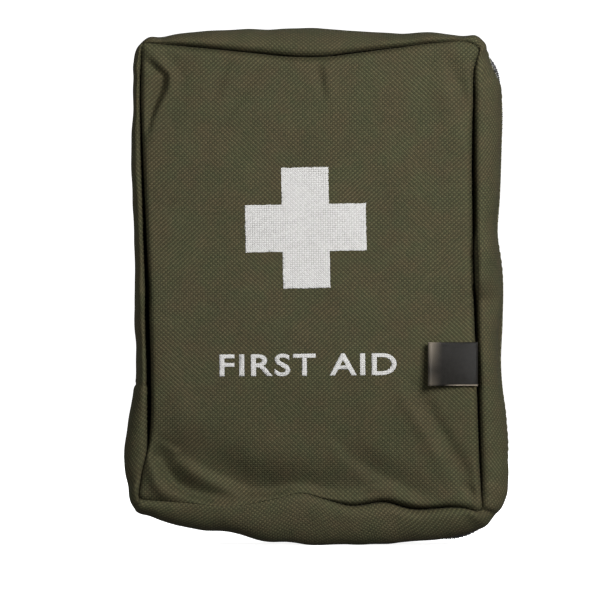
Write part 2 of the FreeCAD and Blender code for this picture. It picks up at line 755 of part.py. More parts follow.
def build_scissors():
    first = "front_face + wall + tool_gap + rivet_head_thick"
    scissors_half("scissors_half_fixed", "1", f"{first} + scissors_thick")
    second = f"{first} + scissors_thick + scissors_layer"
    scissors_half("scissors_half_moving", "-1", f"{second} + scissors_thick")
    head_low = f"{second} + scissors_thick + scissors_layer"
    pivot = ("scissors_x", first, "scissors_z")
    pin = cylinder("rivet_pin", *pivot, "rivet_radius", f"({head_low}) - ({first})", ALONG_Y)
    heads = []
    for name, y in (("rivet_back", f"{first} - rivet_head_thick"), ("rivet_front", head_low)):
        place = ("scissors_x", y, "scissors_z")
        heads.append(cylinder(name, *place, "rivet_head", "rivet_head_thick", ALONG_Y))
    finish(fuse("rivet", [pin] + heads), "scissors_rivet")
    ring_left = "scissors_x - ring_side - ring_outer"
    keeper("scissors_keeper", f"{ring_left} - sachet_gap", f"{ring_left} + ring_limb + sachet_gap",
           "scissors_z + ring_rise - keeper_half", "scissors_z + ring_rise + keeper_half",
           f"{first} + scissors_thick + sachet_gap")


def tweezers_arm(label, tail_y, tip_y):
    """A springy arm that narrows from a wide tail at the top to a fine tip at the bottom."""
    body = new_body(label)
    sections = []
    for lift, y, half in (("tweezers_tail", tail_y, "tweezers_tail_half"),
                          ("tweezers_tip", tip_y, "tweezers_tip_half")):
        sketch = new_sketch(body, "XY_Plane", lift)
        add_polygon(sketch, [(f"tweezers_x - {half}", y), (f"tweezers_x + {half}", y),
                             (f"tweezers_x + {half}", f"{y} + tweezers_thick"),
                             (f"tweezers_x - {half}", f"{y} + tweezers_thick")])
        sections.append(sketch)
    doc.recompute()
    loft = body.newObject("PartDesign::AdditiveLoft", label + "_loft")
    loft.Profile = sections[0]
    loft.Sections = sections[1:]
    body.Tip = loft
    return finish(body, label)


def build_tweezers():
    first = "front_face + wall + tool_gap"
    second = f"{first} + tweezers_thick + tool_gap"
    tweezers_arm("tweezers_arm_fixed", first, first)
    tweezers_arm("tweezers_arm_moving", second, f"{second} + tweezers_open")
    keeper("tweezers_keeper", "tweezers_x - tweezers_tail_half - sachet_gap",
           "tweezers_x + tweezers_tail_half + sachet_gap", "tweezers_keeper_low", "tweezers_keeper_high",
           f"{second} + tweezers_thick + tweezers_open / 4")


# ---------------------------------------------------------------- webbing on the back
def build_webbing():
    for place in ("upper", "lower"):
        low = "webbing_" + place
        row = box("row_" + place, "webbing_left", "webbing_right", "rear_face",
                  "rear_face + webbing_thick", low, f"{low} + webbing_wide")
        finish(row, "rear_webbing_" + place)
    studs, anchors = [], []
    for side, way in (("left", "-1"), ("right", "1")):
        middle = f"{way} * strap_x"
        edges = (f"{middle} - strap_wide / 2", f"{middle} + strap_wide / 2")
        studs.append(cylinder("stud_" + side, middle, "rear_face + webbing_thick", "snap_z",
                              "snap_stud_radius", "snap_stud_high", ALONG_Y))
        anchors.append(box("anchor_" + side, *edges, "rear_face", "rear_face + strap_thick",
                           "strap_high + strap_clear", "strap_high + strap_clear + anchor_long"))
        build_belt_strap(side, middle, edges)
    finish(group("studs", studs), "snap_studs")
    finish(group("anchors", anchors), "strap_anchors")


def build_belt_strap(side, middle, edges):
    """A strap that bows away from the back on one circular arc, with its snap cap square to the arc."""
    half = "((strap_high - strap_low) / 2)"
    mid_z = "((strap_high + strap_low) / 2)"
    radius = f"(({half} ^ 2 + strap_bow ^ 2) / (2 * strap_bow))"
    centre_y = f"(rear_face + strap_clear + strap_bow - {radius})"
    place = (edges[0], centre_y, mid_z)
    outer = cylinder("strap_outer_" + side, *place, f"{radius} + strap_thick", "strap_wide", ALONG_X)
    inner = cylinder("strap_inner_" + side, *place, radius, "strap_wide", ALONG_X)
    band = cut("strap_ring_" + side, outer, inner)
    keep = box("strap_keep_" + side, *edges, "rear_face", "rear_face + strap_bow + 2 * strap_thick",
               "strap_low", "strap_high")
    strap = doc.addObject("Part::Common", "strap_" + side)
    strap.Base = band
    strap.Tool = keep
    finish(strap, "belt_strap_" + side)
    cap = doc.addObject("Part::Cylinder", "cap_" + side)
    lean = math.degrees(math.asin((value("snap_z") - value(mid_z)) / value(radius)))
    square = FreeCAD.Rotation(FreeCAD.Vector(1, 0, 0), lean - 90)
    cap.Placement = FreeCAD.Placement(FreeCAD.Vector(0, 0, 0), square)
    bind(cap, "Radius", "snap_cap_radius")
    bind(cap, "Height", "snap_cap_thick")
    rise = f"(snap_z - {mid_z})"
    stand = f"({radius} + strap_thick)"
    bind(cap, "Placement.Base.x", middle)
    bind(cap, "Placement.Base.y", f"{centre_y} + {stand} * sqrt(1 - ({rise} / {radius}) ^ 2)")
    bind(cap, "Placement.Base.z", f"{mid_z} + {stand} * {rise} / {radius}")
    finish(cap, "snap_cap_" + side)


build_shells()
build_cross()
build_side_tag()
build_zip()
build_sliders()
build_hinge_strip()
build_rear_contents()
build_mesh_pocket()
build_pocket_contents()
build_wipes()
build_scissors()
build_tweezers()
build_webbing()
doc.recompute()

for thing in doc.Objects:
    if "Invalid" in thing.State or "Error" in thing.State:
        raise RuntimeError(f"{thing.Label} failed: {thing.State}")
for thing in nodes:
    if thing.Shape.isNull() or not thing.Shape.isValid():
        raise RuntimeError(f"{thing.Label} has no valid shape")

os.makedirs("parts", exist_ok=True)
whole = FreeCAD.BoundBox()
for thing in nodes:
    thing.Shape.exportStep(f"parts/{thing.Label}.step")
    whole.add(thing.Shape.BoundBox)
    print(f"{thing.Label:24s} {thing.Shape.Volume:10.1f} mm3, {len(thing.Shape.Solids)} solid(s)")
print(f"{len(nodes)} sub-parts, X {whole.XMin:.2f} to {whole.XMax:.2f}, "
      f"Y {whole.YMin:.2f} to {whole.YMax:.2f}, Z {whole.ZMin:.2f} to {whole.ZMax:.2f}")
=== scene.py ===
import json
import math

import bmesh
import bpy
import numpy as np
from mathutils import Matrix, Vector, noise
from mathutils.bvhtree import BVHTree

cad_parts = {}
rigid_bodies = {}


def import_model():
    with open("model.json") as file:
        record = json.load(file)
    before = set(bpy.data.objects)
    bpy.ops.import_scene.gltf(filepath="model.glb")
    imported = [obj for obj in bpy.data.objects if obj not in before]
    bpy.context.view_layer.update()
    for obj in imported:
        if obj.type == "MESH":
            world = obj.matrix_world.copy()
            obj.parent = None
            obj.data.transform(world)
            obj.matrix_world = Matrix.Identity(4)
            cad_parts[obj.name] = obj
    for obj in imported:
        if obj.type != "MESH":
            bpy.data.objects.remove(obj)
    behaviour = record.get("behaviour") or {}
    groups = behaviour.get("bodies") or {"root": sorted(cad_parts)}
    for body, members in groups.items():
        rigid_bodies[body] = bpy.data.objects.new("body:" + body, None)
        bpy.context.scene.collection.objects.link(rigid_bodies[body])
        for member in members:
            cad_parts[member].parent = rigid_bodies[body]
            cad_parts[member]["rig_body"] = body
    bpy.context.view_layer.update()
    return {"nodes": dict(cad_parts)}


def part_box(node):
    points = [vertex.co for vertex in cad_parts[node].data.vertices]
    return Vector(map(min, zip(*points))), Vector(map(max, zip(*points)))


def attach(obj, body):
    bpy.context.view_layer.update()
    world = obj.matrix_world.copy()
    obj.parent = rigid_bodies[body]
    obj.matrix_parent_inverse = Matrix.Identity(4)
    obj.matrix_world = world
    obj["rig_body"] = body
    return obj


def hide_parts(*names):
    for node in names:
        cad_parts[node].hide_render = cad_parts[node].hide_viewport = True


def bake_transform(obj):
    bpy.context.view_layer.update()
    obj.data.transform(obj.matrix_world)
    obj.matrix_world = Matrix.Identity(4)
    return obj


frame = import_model()

# All shape work below is in millimetres. Meshes are written in metres, in the frame of the model:
# X across the pouch, Y from the printed front to the back, Z up. Y = 0 is where the zip closes.
MM = 0.001
BACK = np.array([0.0, 1.0, 0.0])


def node_box(node):
    """Lowest and highest corner of a frame node, in millimetres."""
    low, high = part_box(node)
    return np.array(low) / MM, np.array(high) / MM


def node_centre(node):
    """The middle of a frame node's box, in millimetres."""
    low, high = node_box(node)
    return (low + high) / 2


# ------------------------------------------------------------------------------ shader helpers
SHEEN_ROUGHNESS = 0.5


class Graph:
    """Short calls for the few kinds of node that the materials share."""

    def __init__(self, name):
        self.material = bpy.data.materials.new(name)
        self.material.use_nodes = True
        self.nodes = self.material.node_tree.nodes
        self.links = self.material.node_tree.links
        self.shader = self.nodes["Principled BSDF"]

    def plug(self, value, socket):
        if isinstance(value, (int, float, tuple)):
            socket.default_value = value
        else:
            self.links.new(value, socket)

    def math(self, operation, first, second=0.0, third=0.0):
        node = self.nodes.new("ShaderNodeMath")
        node.operation = operation
        for socket, value in zip(node.inputs, (first, second, third)):
            self.plug(value, socket)
        return node.outputs[0]

    def mix(self, factor, first, second, blend="MIX"):
        node = self.nodes.new("ShaderNodeMix")
        node.data_type = "RGBA"
        node.blend_type = blend
        self.plug(factor, node.inputs["Factor"])
        self.plug(first, node.inputs["A"])
        self.plug(second, node.inputs["B"])
        return node.outputs["Result"]

    def tinted(self, colour, tone):
        """A flat colour made lighter and darker by a tone."""
        return self.mix(1.0, shade(colour, 1.0), self.join(tone, tone, tone), "MULTIPLY")

    def noise(self, vector, scale, detail=3.0, roughness=0.55):
        node = self.nodes.new("ShaderNodeTexNoise")
        self.plug(vector, node.inputs["Vector"])
        node.inputs["Scale"].default_value = scale
        node.inputs["Detail"].default_value = detail
        node.inputs["Roughness"].default_value = roughness
        return node.outputs["Fac"], node.outputs["Color"]

    def ramp(self, value, low, high, bottom=0.0, top=1.0):
        node = self.nodes.new("ShaderNodeMapRange")
        self.plug(value, node.inputs["Value"])
        node.inputs["From Min"].default_value = low
        node.inputs["From Max"].default_value = high
        node.inputs["To Min"].default_value = bottom
        node.inputs["To Max"].default_value = top
        return node.outputs["Result"]

    def cloth_uv(self):
        node = self.nodes.new("ShaderNodeUVMap")
        node.uv_map = "cloth"
        return node.outputs["UV"]

    def position(self):
        return self.nodes.new("ShaderNodeTexCoord").outputs["Object"]

    def split(self, vector):
        node = self.nodes.new("ShaderNodeSeparateXYZ")
        self.plug(vector, node.inputs[0])
        return node.outputs[0], node.outputs[1], node.outputs[2]

    def join(self, x, y, z=0.0):
        node = self.nodes.new("ShaderNodeCombineXYZ")
        for socket, value in zip(node.inputs, (x, y, z)):
            self.plug(value, socket)
        return node.outputs[0]

    def bump(self, height, distance):
        node = self.nodes.new("ShaderNodeBump")
        node.inputs["Strength"].default_value = 1.0
        node.inputs["Distance"].default_value = distance
        self.plug(height, node.inputs["Height"])
        self.links.new(node.outputs["Normal"], self.shader.inputs["Normal"])

    def surface(self, colour, roughness=0.8, metallic=0.0, specular=0.5, sheen=0.0, coat=0.0):
        self.plug(colour, self.shader.inputs["Base Color"])
        self.plug(roughness, self.shader.inputs["Roughness"])
        self.shader.inputs["Metallic"].default_value = metallic
        self.shader.inputs["Specular IOR Level"].default_value = specular
        self.shader.inputs["Sheen Weight"].default_value = sheen
        self.shader.inputs["Sheen Roughness"].default_value = SHEEN_ROUGHNESS
        self.shader.inputs["Coat Weight"].default_value = coat
        return self.material


def shade(colour, factor):
    """A colour made lighter or darker, with full alpha."""
    return tuple(min(1.0, channel * factor) for channel in colour[:3]) + (1.0,)


THREAD_WANDER = 0.55        # how far a thread strays sideways, as a share of the weave's pitch
THREAD_MOTTLE = 0.16        # how much the threads differ in tone
GREENER = (0.93, 1.04, 1.0)
BROWNER = (1.08, 0.98, 1.0)


def hued(colour, hue):
    """A colour shifted channel by channel, with full alpha."""
    return tuple(channel * factor for channel, factor in zip(colour, hue)) + (1.0,)


def woven(name, colour, pitch, painted_weave_shade=0.45, height=0.00012, roughness=0.85, sheen=0.0, stretch=1.0,
          ink=None):
    """Plain weave on the cloth's own coordinates: warp and weft cross over and under each other.

    stretch makes the weave's cells longer than they are wide. ink prints a colour over the crowns
    of the threads and leaves the gaps between them bare.
    """
    g = Graph(name)
    uv = g.cloth_uv()
    wander, wander_colour = g.noise(uv, 90.0, 2.0)
    drift = g.nodes.new("ShaderNodeVectorMath")
    drift.operation = "MULTIPLY_ADD"
    g.links.new(wander_colour, drift.inputs[0])
    drift.inputs[1].default_value = (pitch * THREAD_WANDER,) * 3
    g.links.new(uv, drift.inputs[2])
    across, along, _ = g.split(drift.outputs[0])
    warp = g.math("MULTIPLY", across, math.pi / pitch)
    weft = g.math("MULTIPLY", along, math.pi / (pitch * stretch))
    slant, _ = g.noise(uv, 22.0, 2.0)
    rising = g.ramp(slant, 0.35, 0.65, 0.25, 0.75)
    falling = g.math("SUBTRACT", 1.0, rising)
    cross = g.math("SUBTRACT", g.math("MULTIPLY", rising, g.math("COSINE", g.math("SUBTRACT", warp, weft))),
                   g.math("MULTIPLY", falling, g.math("COSINE", g.math("ADD", warp, weft))))
    crown = g.math("POWER", g.math("ABSOLUTE", cross), 0.6)
    cell_u = g.math("FLOOR", g.math("DIVIDE", across, pitch))
    cell_v = g.math("FLOOR", g.math("DIVIDE", along, pitch * stretch))
    grain = g.nodes.new("ShaderNodeTexWhiteNoise")
    grain.noise_dimensions = "2D"
    g.links.new(g.join(cell_u, cell_v), grain.inputs["Vector"])
    patch, _ = g.noise(uv, 60.0, 4.0, 0.6)
    # painted light and shade: warp floats lighter than weft floats, as if lit from one side, and painted
    # shade in the gaps between the threads' crowns
    side = g.math("MULTIPLY_ADD", cross, painted_weave_shade, 1.0)
    gap = g.ramp(crown, 0.0, 0.75, 1.0 - painted_weave_shade * 0.9, 1.06)
    tone = g.math("MULTIPLY", g.math("MULTIPLY", side, gap),
                  g.math("MULTIPLY_ADD", grain.outputs["Value"], THREAD_MOTTLE, 1.0 - THREAD_MOTTLE / 2))
    tone = g.math("MULTIPLY", tone, g.ramp(patch, 0.3, 0.7, 0.93, 1.07))
    hue = g.math("ADD", g.math("MULTIPLY", grain.outputs["Value"], 0.35),
                 g.math("MULTIPLY", g.ramp(wander, 0.38, 0.62), 0.65))
    dyed = g.mix(hue, hued(colour, GREENER), hued(colour, BROWNER))
    base = g.mix(1.0, dyed, g.join(tone, tone, tone), "MULTIPLY")
    if ink:
        cover = g.ramp(g.math("ADD", crown, g.math("MULTIPLY", grain.outputs["Value"], 0.25)), 0.02, 0.42)
        base = g.mix(cover, base, g.tinted(ink, g.math("MULTIPLY_ADD", tone, 0.22, 0.78)))
    g.bump(crown, height)
    return g.surface(base, roughness=roughness, sheen=sheen, specular=0.12)


# ------------------------------------------------------------------------------ mesh helpers
def mesh_piece(name, points, faces, material, uvs=None):
    """A smooth mesh from millimetre points. uvs is one pair in millimetres per point."""
    mesh = bpy.data.meshes.new(name)
    points = np.asarray(points, float)
    mesh.from_pydata((points * MM).tolist(), [], [tuple(int(i) for i in face) for face in faces])
    if uvs is not None:
        layer = mesh.uv_layers.new(name="cloth")
        corner_points = np.zeros(len(mesh.loops), np.int32)
        mesh.loops.foreach_get("vertex_index", corner_points)
        flat = (np.asarray(uvs, float)[corner_points] * MM).astype(np.float32)
        layer.data.foreach_set("uv", flat.ravel())
    mesh.materials.append(material)
    mesh.polygons.foreach_set("use_smooth", np.full(len(mesh.polygons), True))
    mesh.validate()
    mesh.update()
    piece = bpy.data.objects.new(name, mesh)
    bpy.context.scene.collection.objects.link(piece)
    return piece


def grid_faces(rows, columns):
    """Quads of a grid whose points run column by column inside each row."""
    return [(row * columns + column, (row + 1) * columns + column,
             (row + 1) * columns + column + 1, row * columns + column + 1)
            for row in range(rows - 1) for column in range(columns - 1)]


def grid_piece(name, rows, uvs, material):
    """A sheet from an array of rows of points."""
    return mesh_piece(name, rows.reshape(-1, 3), grid_faces(*rows.shape[:2]), material, uvs)


def distances_along(path):
    """Distance from the start of a path to each of its points."""
    return np.concatenate([[0], np.cumsum(np.linalg.norm(np.diff(path, axis=0), axis=1))])


def apply_modifiers(piece):
    """Bakes a piece's modifiers into its mesh."""
    graph = bpy.context.evaluated_depsgraph_get()
    mesh = bpy.data.meshes.new_from_object(piece.evaluated_get(graph), depsgraph=graph)
    old = piece.data
    piece.modifiers.clear()
    piece.data = mesh
    mesh.name = old.name
    bpy.data.meshes.remove(old)
    return piece


INWARDS, CENTRED = -1.0, 0.0    # where a sheet's thickness lies, from its first surface


def thicken(piece, thickness, offset):
    """Gives a sheet its thickness in millimetres."""
    solid = piece.modifiers.new("thickness", "SOLIDIFY")
    solid.thickness = thickness * MM
    solid.offset = offset
    return apply_modifiers(piece)


def place(piece, body, slot, replaces=()):
    """Puts a piece on its body and hides the nodes it stands for. slot is not used.
    """
    if body:
        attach(piece, body)
    if replaces:
        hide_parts(*replaces)
    return piece


def interpolate(profile, t):
    """Smooth values through (place, value) pairs, with a Catmull-Rom slope at each."""
    places = np.array([pair[0] for pair in profile], float)
    values = np.array([pair[1] for pair in profile], float)
    slopes = np.gradient(values, places)
    t = np.clip(np.asarray(t, float), places[0], places[-1])
    index = np.clip(np.searchsorted(places, t, side="right") - 1, 0, len(places) - 2)
    span = places[index + 1] - places[index]
    u = (t - places[index]) / span
    return ((2 * u**3 - 3 * u**2 + 1) * values[index] + (u**3 - 2 * u**2 + u) * span * slopes[index]
            + (3 * u**2 - 2 * u**3) * values[index + 1] + (u**3 - u**2) * span * slopes[index + 1])


def ripple(x, y, z, scale, seed=0.0):
    """Smooth noise at one point, with features about scale millimetres wide."""
    return noise.noise(Vector((x / scale + seed, y / scale - seed * 0.7, z / scale + seed * 1.3)))


def ripples(points, scale, seed=0.0):
    """Smooth noise at every point of an array."""
    values = [ripple(x, y, z, scale, seed) for x, y, z in points.reshape(-1, 3)]
    return np.array(values).reshape(points.shape[:-1])


# ------------------------------------------------------------------------------ the pouch's shells
SIDES = ("bottom", "right", "top", "left")
OUTWARD = {"bottom": (0, -1), "right": (1, 0), "top": (0, 1), "left": (-1, 0)}
FULL_LOW, FULL_HIGH = node_box("front_gusset")
PANEL_LOW, PANEL_HIGH = node_box("front_panel")
BACK_LOW, BACK_HIGH = node_box("rear_panel")
SEAM_INSET = 1.3            # the frame's panels lie this far inside their seams
EDGE_STEPS = (0, 0.35, 0.75, 1.2, 1.75, 2.4, 3.2, 4.1)   # finer rows of points beside a seam
CLOTH_STEP = 1.0            # spacing of points elsewhere
CLOTH_THICK = 0.9
CLOTH_CENTRE = np.array([0.0, 0.0, (FULL_LOW[2] + FULL_HIGH[2]) / 2])

# Outward bulge of each edge, in millimetres, against the place along it from 0 to 1. Bottom and top
# run from left to right, left and right run upwards.
FRONT_SEAM = {
    "bottom": [(0, -4.3), (0.12, -3.2), (0.28, -1.8), (0.40, -4.6), (0.47, -6.6), (0.555, -3.9),
               (0.61, -2.1), (0.725, -3.2), (0.79, -1.0), (0.95, -1.0), (1, 0.5)],
    "right": [(0, 1.3), (0.09, 0.5), (0.27, -0.6), (0.46, -1.7), (0.6, -2.1), (0.88, -2.1), (0.965, -1.5),
              (1, 0.4)],
    "top": [(0, 3.0), (0.17, 1.2), (0.32, -0.7), (0.47, -2.4), (0.53, -2.4), (0.615, -1.1), (0.76, 1.2),
            (0.88, 3.0), (0.97, 3.0), (1, 1.6)],
    "left": [(0, 2.5), (0.06, 0.9), (0.1, -0.7), (0.17, -1.6), (0.26, -1.6), (0.44, -0.8), (0.655, 0.3),
             (0.765, 1.0), (0.9, 1.4), (1, 1.0)],
}
FRONT_FULL = {
    "bottom": [(0, -10.2), (0.05, -9.4), (0.075, -7.9), (0.128, -5.8), (0.18, -4.7), (0.26, -4.1),
               (0.34, -0.9),
               (0.42, -0.1), (0.50, 0.8), (0.62, 0.8), (0.70, 0.8), (0.76, 0.2), (0.82, -0.7), (0.88, -2.5),
               (1, -5.4)],
    "right": [(0, 1.6), (0.07, 1.2), (0.1, 1.1), (0.16, 0.9), (0.218, 0.0), (0.277, -1.7), (0.336, -2.6),
              (0.42, -1.7),
              (0.484, -1.5), (0.544, -2.0), (0.603, -3.7), (0.69, -2.6), (0.8, -1.6), (0.87, -1.4),
              (0.905, -1.6),
              (0.925, -3.2), (0.95, -5.8), (1, -7.0)],
    "top": [(0, -2.8), (0.06, -2.4), (0.12, -1.2), (0.18, -0.3), (0.26, 0.2), (0.425, 0.4), (0.507, 0.7),
            (0.59, 0.1),
            (0.67, -0.7), (0.75, -1.2), (0.87, -0.9), (0.93, -1.9), (1, -2.2)],
    "left": [(0, 1.2), (0.056, 1.9), (0.118, 3.3), (0.18, 1.9), (0.242, 0.1), (0.274, -1.0), (0.39, -0.9),
             (0.52, -0.9), (0.615, -0.6), (0.676, 0), (0.857, 0), (1, -0.5)],
}
REAR_SEAM = {
    "bottom": [(0, -5.4), (0.12, -4.6), (0.26, -1.6), (0.45, 0.2), (0.7, -0.6), (1, -1.0)],
    "right": [(0, -1.0), (0.35, -0.4), (0.7, -1.4), (1, -0.6)],
    "top": [(0, 0.4), (0.4, -1.2), (0.7, -0.6), (1, 0.6)],
    "left": [(0, -3.6), (0.1, -2.8), (0.3, -1.4), (0.65, -0.4), (1, 0.2)],
}
REAR_FULL = {
    "bottom": [(0, -11.0), (0.1, -9.8), (0.2, -7.4), (0.35, -3.6), (0.6, -1.8), (0.8, -3.2), (1, -5.0)],
    "right": [(0, -2.6), (0.15, -1.6), (0.35, -3.4), (0.6, -4.6), (0.8, -3.6), (1, -5.6)],
    "top": [(0, -2.8), (0.3, -1.8), (0.6, -2.2), (1, -3.8)],
    "left": [(0, -3.4), (0.06, -4.0), (0.12, -5.0), (0.18, -4.2), (0.26, -2.4), (0.5, -1.8), (1, -2.0)],
}
ZIP_LINE = {
    "bottom": [(0, -11.4), (0.2, -8.6), (0.4, -5.6), (0.6, -3.0), (0.72, -2.2), (0.85, -2.2), (1, -2.6)],
    "right": [(0, -1.2), (0.1, -0.3), (0.16, -0.2), (0.22, -0.9), (0.3, -2.5), (0.42, -2.6), (0.5, -2.4),
              (0.6, -4.1), (0.69, -3.2), (0.8, -2.5), (0.88, -2.2), (0.94, -3.2), (1, -5.0)],
    "top": [(0, -5.2), (1, -5.2)],
    "left": [(0, -5.2), (1, -5.2)],
}


def graded(length):
    """Places from 0 to 1 along an edge, close together at both ends."""
    ends = np.array(EDGE_STEPS) / length
    count = int((length - 2 * EDGE_STEPS[-1]) / CLOTH_STEP)
    middle = np.linspace(ends[-1], 1 - ends[-1], count + 1)[1:-1]
    return np.concatenate([ends, middle, 1 - ends[::-1]])


def corner_points(low, high, profiles):
    """The four corners of a loop, counter-clockwise from the lower left, moved by the edges' ends."""
    left, bottom, right, top = (profiles[side] for side in ("left", "bottom", "right", "top"))
    return [np.array([low[0] - left[0][1], low[1] - bottom[0][1]]),
            np.array([high[0] + right[0][1], low[1] - bottom[-1][1]]),
            np.array([high[0] + right[-1][1], high[1] + top[-1][1]]),
            np.array([low[0] - left[-1][1], high[1] + top[0][1]])]


def edge_loop(low, high, profiles, radii, places_x, places_z):
    """Points of a closed rounded loop, one array per side, counter-clockwise from the lower left.

    Each side runs from the middle of one corner's arc to the middle of the next one's.
    """
    corners = corner_points(low, high, profiles)
    loops = []
    for index, side in enumerate(SIDES):
        first, last = corners[index], corners[(index + 1) % 4]
        before, after = corners[index - 1], corners[(index + 2) % 4]
        along = (last - first) / np.linalg.norm(last - first)
        into = (first - before) / np.linalg.norm(first - before)
        onward = (after - last) / np.linalg.norm(after - last)
        r0, r1 = radii[index], radii[(index + 1) % 4]
        straight = np.linalg.norm(last - first) - r0 - r1
        quarter = math.pi / 4
        total = r0 * quarter + straight + r1 * quarter
        places = places_x if side in ("bottom", "top") else places_z
        points = []
        for place in places:
            s = place * total
            if s < r0 * quarter:
                turn = quarter + s / r0
                arc = math.sin(turn) * into - math.cos(turn) * along
                point = first - into * r0 + along * r0 + r0 * arc
            elif s <= r0 * quarter + straight:
                point = first + along * (r0 + s - r0 * quarter)
            else:
                turn = (s - r0 * quarter - straight) / r1
                arc = math.sin(turn) * along - math.cos(turn) * onward
                point = last - along * r1 + onward * r1 + r1 * arc
            points.append(point)
        points = np.array(points)
        rising = side in ("bottom", "right")
        t = np.array(places) if rising else 1 - np.array(places)
        profile = profiles[side]
        bulge = interpolate(profile, t) - (profile[0][1] + (profile[-1][1] - profile[0][1]) * t)
        points += bulge[:, None] * np.array(OUTWARD[side])
        loops.append(points)
    return loops


def joined(loops):
    """One closed ring of points from four sides that share their ends."""
    return np.concatenate([side[:-1] for side in loops])


CORNER_SHARE = 0.22         # the share of a side over which a corner's value gives way to the side's


def side_places(shape, side):
    """Places from 0 to 1 of a side's points, in the order of the ring."""
    return np.array(shape.places_x if side in ("bottom", "top") else shape.places_z)


def blended_by_side(values, shape, corner):
    """A value for every ring point: one per side, with another at the corners."""
    ring = []
    for side in SIDES:
        places = side_places(shape, side)
        weight = smooth_step(np.minimum(places, 1 - places), 0, CORNER_SHARE)
        ring.append((corner + (values[side] - corner) * weight)[:-1])
    return np.concatenate(ring)


def ring_profile(profiles, shape):
    """Values for every ring point from one profile per side."""
    ring = []
    for side in SIDES:
        places = side_places(shape, side)
        t = places if side in ("bottom", "right") else 1 - places
        ring.append(interpolate(profiles[side], t)[:-1])
    return np.concatenate(ring)


def distance_to_path(x, z, path):
    """Distance from each point to a path, the share of the path behind its nearest point, and its side.

    The side is above nought on the left of the path's direction.
    """
    best = np.full(np.shape(x), 1e9)
    passed = np.zeros(np.shape(x))
    side = np.zeros(np.shape(x))
    path = np.array(path, float)
    lengths = np.linalg.norm(np.diff(path, axis=0), axis=1)
    total, done = lengths.sum(), 0.0
    for start, end, length in zip(path[:-1], path[1:], lengths):
        run = (end - start) / length
        dx, dz = x - start[0], z - start[1]
        along = np.clip(dx * run[0] + dz * run[1], 0, length)
        distance = np.hypot(dx - along * run[0], dz - along * run[1])
        nearer = distance < best
        best = np.where(nearer, distance, best)
        passed = np.where(nearer, (done + along) / total, passed)
        side = np.where(nearer, run[0] * dz - run[1] * dx, side)
        done += length
    return best, passed, side


# Folds of the front panel: a path across it, how wide the fold is on the path's left and on its
# right, and how far it stands out, or in where that is below nought.
FOLDS = [
    ([(-64, 35), (-58.5, 31), (-56.5, 26.5), (-53, 21.7), (-48, 18.8), (-41, 16.2), (-31, 12.8)],
     (6.5, 1.3), -6.6),
    ([(-50, 33), (-40, 27), (-33, 24), (-26, 20.6), (-14, 18.3), (0, 18), (16, 20.5)], (8.5, 2.6), -5.2),
    ([(-62.6, 31), (-60.4, 23), (-56, 16)], (2.6, 2.4), 2.6),
    ([(-27, 16.5), (-11, 13.6), (8, 13.2)], (2.2, 2.2), 1.6),
    ([(-61.8, 33), (-60.2, 29)], (1.2, 1.2), -2.2),
    ([(-67, 179.5), (-61, 176.2), (-56.6, 173.0), (-57.2, 169.5), (-60.4, 161.8), (-63.4, 152)], (1.1, 2.0),
     -2.7),
    ([(-65, 184), (-59, 177.5), (-54.6, 172.2), (-54.9, 167.5), (-60.5, 157), (-62, 150)], (2.6, 1.2), 1.9),
    ([(-57, 181), (-51.4, 171.5), (-52.4, 163), (-55, 156)], (3.0, 1.4), -1.1),
    ([(-33, 181), (-36.5, 170), (-39, 163)], (1.6, 3.4), -0.8),
    ([(-46, 150), (-36, 156), (-28, 168), (-22, 178)], (4.0, 3.0), -0.9),
    ([(-1, 178), (0.5, 171), (1.5, 165)], (1.5, 1.5), -1.1),
    ([(3, 178), (4, 171), (4, 164)], (2.4, 2.4), 0.7),
    ([(44, 174), (48, 161), (53, 147)], (4.2, 4.2), 0.9),
    ([(47, 178), (53, 166), (56.5, 152)], (3.4, 2.0), -1.6),
    ([(36, 58), (46, 40), (52, 30), (58, 18)], (2.6, 4.6), -1.7),
    ([(30, 56), (40, 40), (47, 26)], (3.0, 3.0), 1.1),
    ([(58, 52), (47, 36), (38, 24), (32, 15)], (4.0, 4.0), 1.0),
    ([(10, 34), (20, 27), (32, 21), (42, 15)], (5.5, 2.4), -2.0),
    ([(53.5, 22), (58, 17)], (1.6, 1.6), -1.6),
    ([(-56, 64), (-52, 54), (-50, 42)], (4.5, 4.5), 0.6),
]
DENTS = [((24, 19), (12, 4.5), 0.7), ((46, 52), (9, 9), 0.5), ((-38, 46), (14, 8), -0.5),
         ((-6, 34), (26, 9), -0.6)]


def crease_height(x, z):
    """How far the folds and dents lift a panel point towards the viewer."""
    lift = np.zeros(np.shape(x))
    for path, (left_width, right_width), height in FOLDS:
        distance, passed, side = distance_to_path(x, z, path)
        width = np.where(side > 0, left_width, right_width)
        fade = np.sin(np.pi * np.clip(0.1 + 0.8 * passed, 0, 1)) ** 0.8
        lift += fade * height * np.exp(-(distance / width) ** 2)
    for (cx, cz), (rx, rz), depth in DENTS:
        lift -= depth * np.exp(-((x - cx) / rx) ** 2 - ((z - cz) / rz) ** 2)
    return lift


SAG_DEPTH = 6.0             # how far the filled pouch's lower front hangs back
SAG_HEIGHTS = (68.0, 16.0)  # where that starts and ends


def smooth_step(value, start, end):
    """Rises gently from 0 to 1 between two values."""
    share = np.clip((value - start) / (end - start), 0, 1)
    return share * share * (3 - 2 * share)


def sag(z):
    """How far the front panel hangs back at a height."""
    return SAG_DEPTH * smooth_step(z, *SAG_HEIGHTS)


HARD_CONTENTS = ("tweezers_keeper", "tweezers_arm_fixed", "scissors_keeper", "scissors_half_fixed",
                 "scissors_rivet",
                 "wipe_band")
CLOTH_GAP = 0.35            # the cloth's outer face stands at least this far in front of them
DRAPE_SLOPE = 0.8           # how steeply the cloth falls away beside them
NOTHING_THERE = -100.0      # a height that holds nothing off


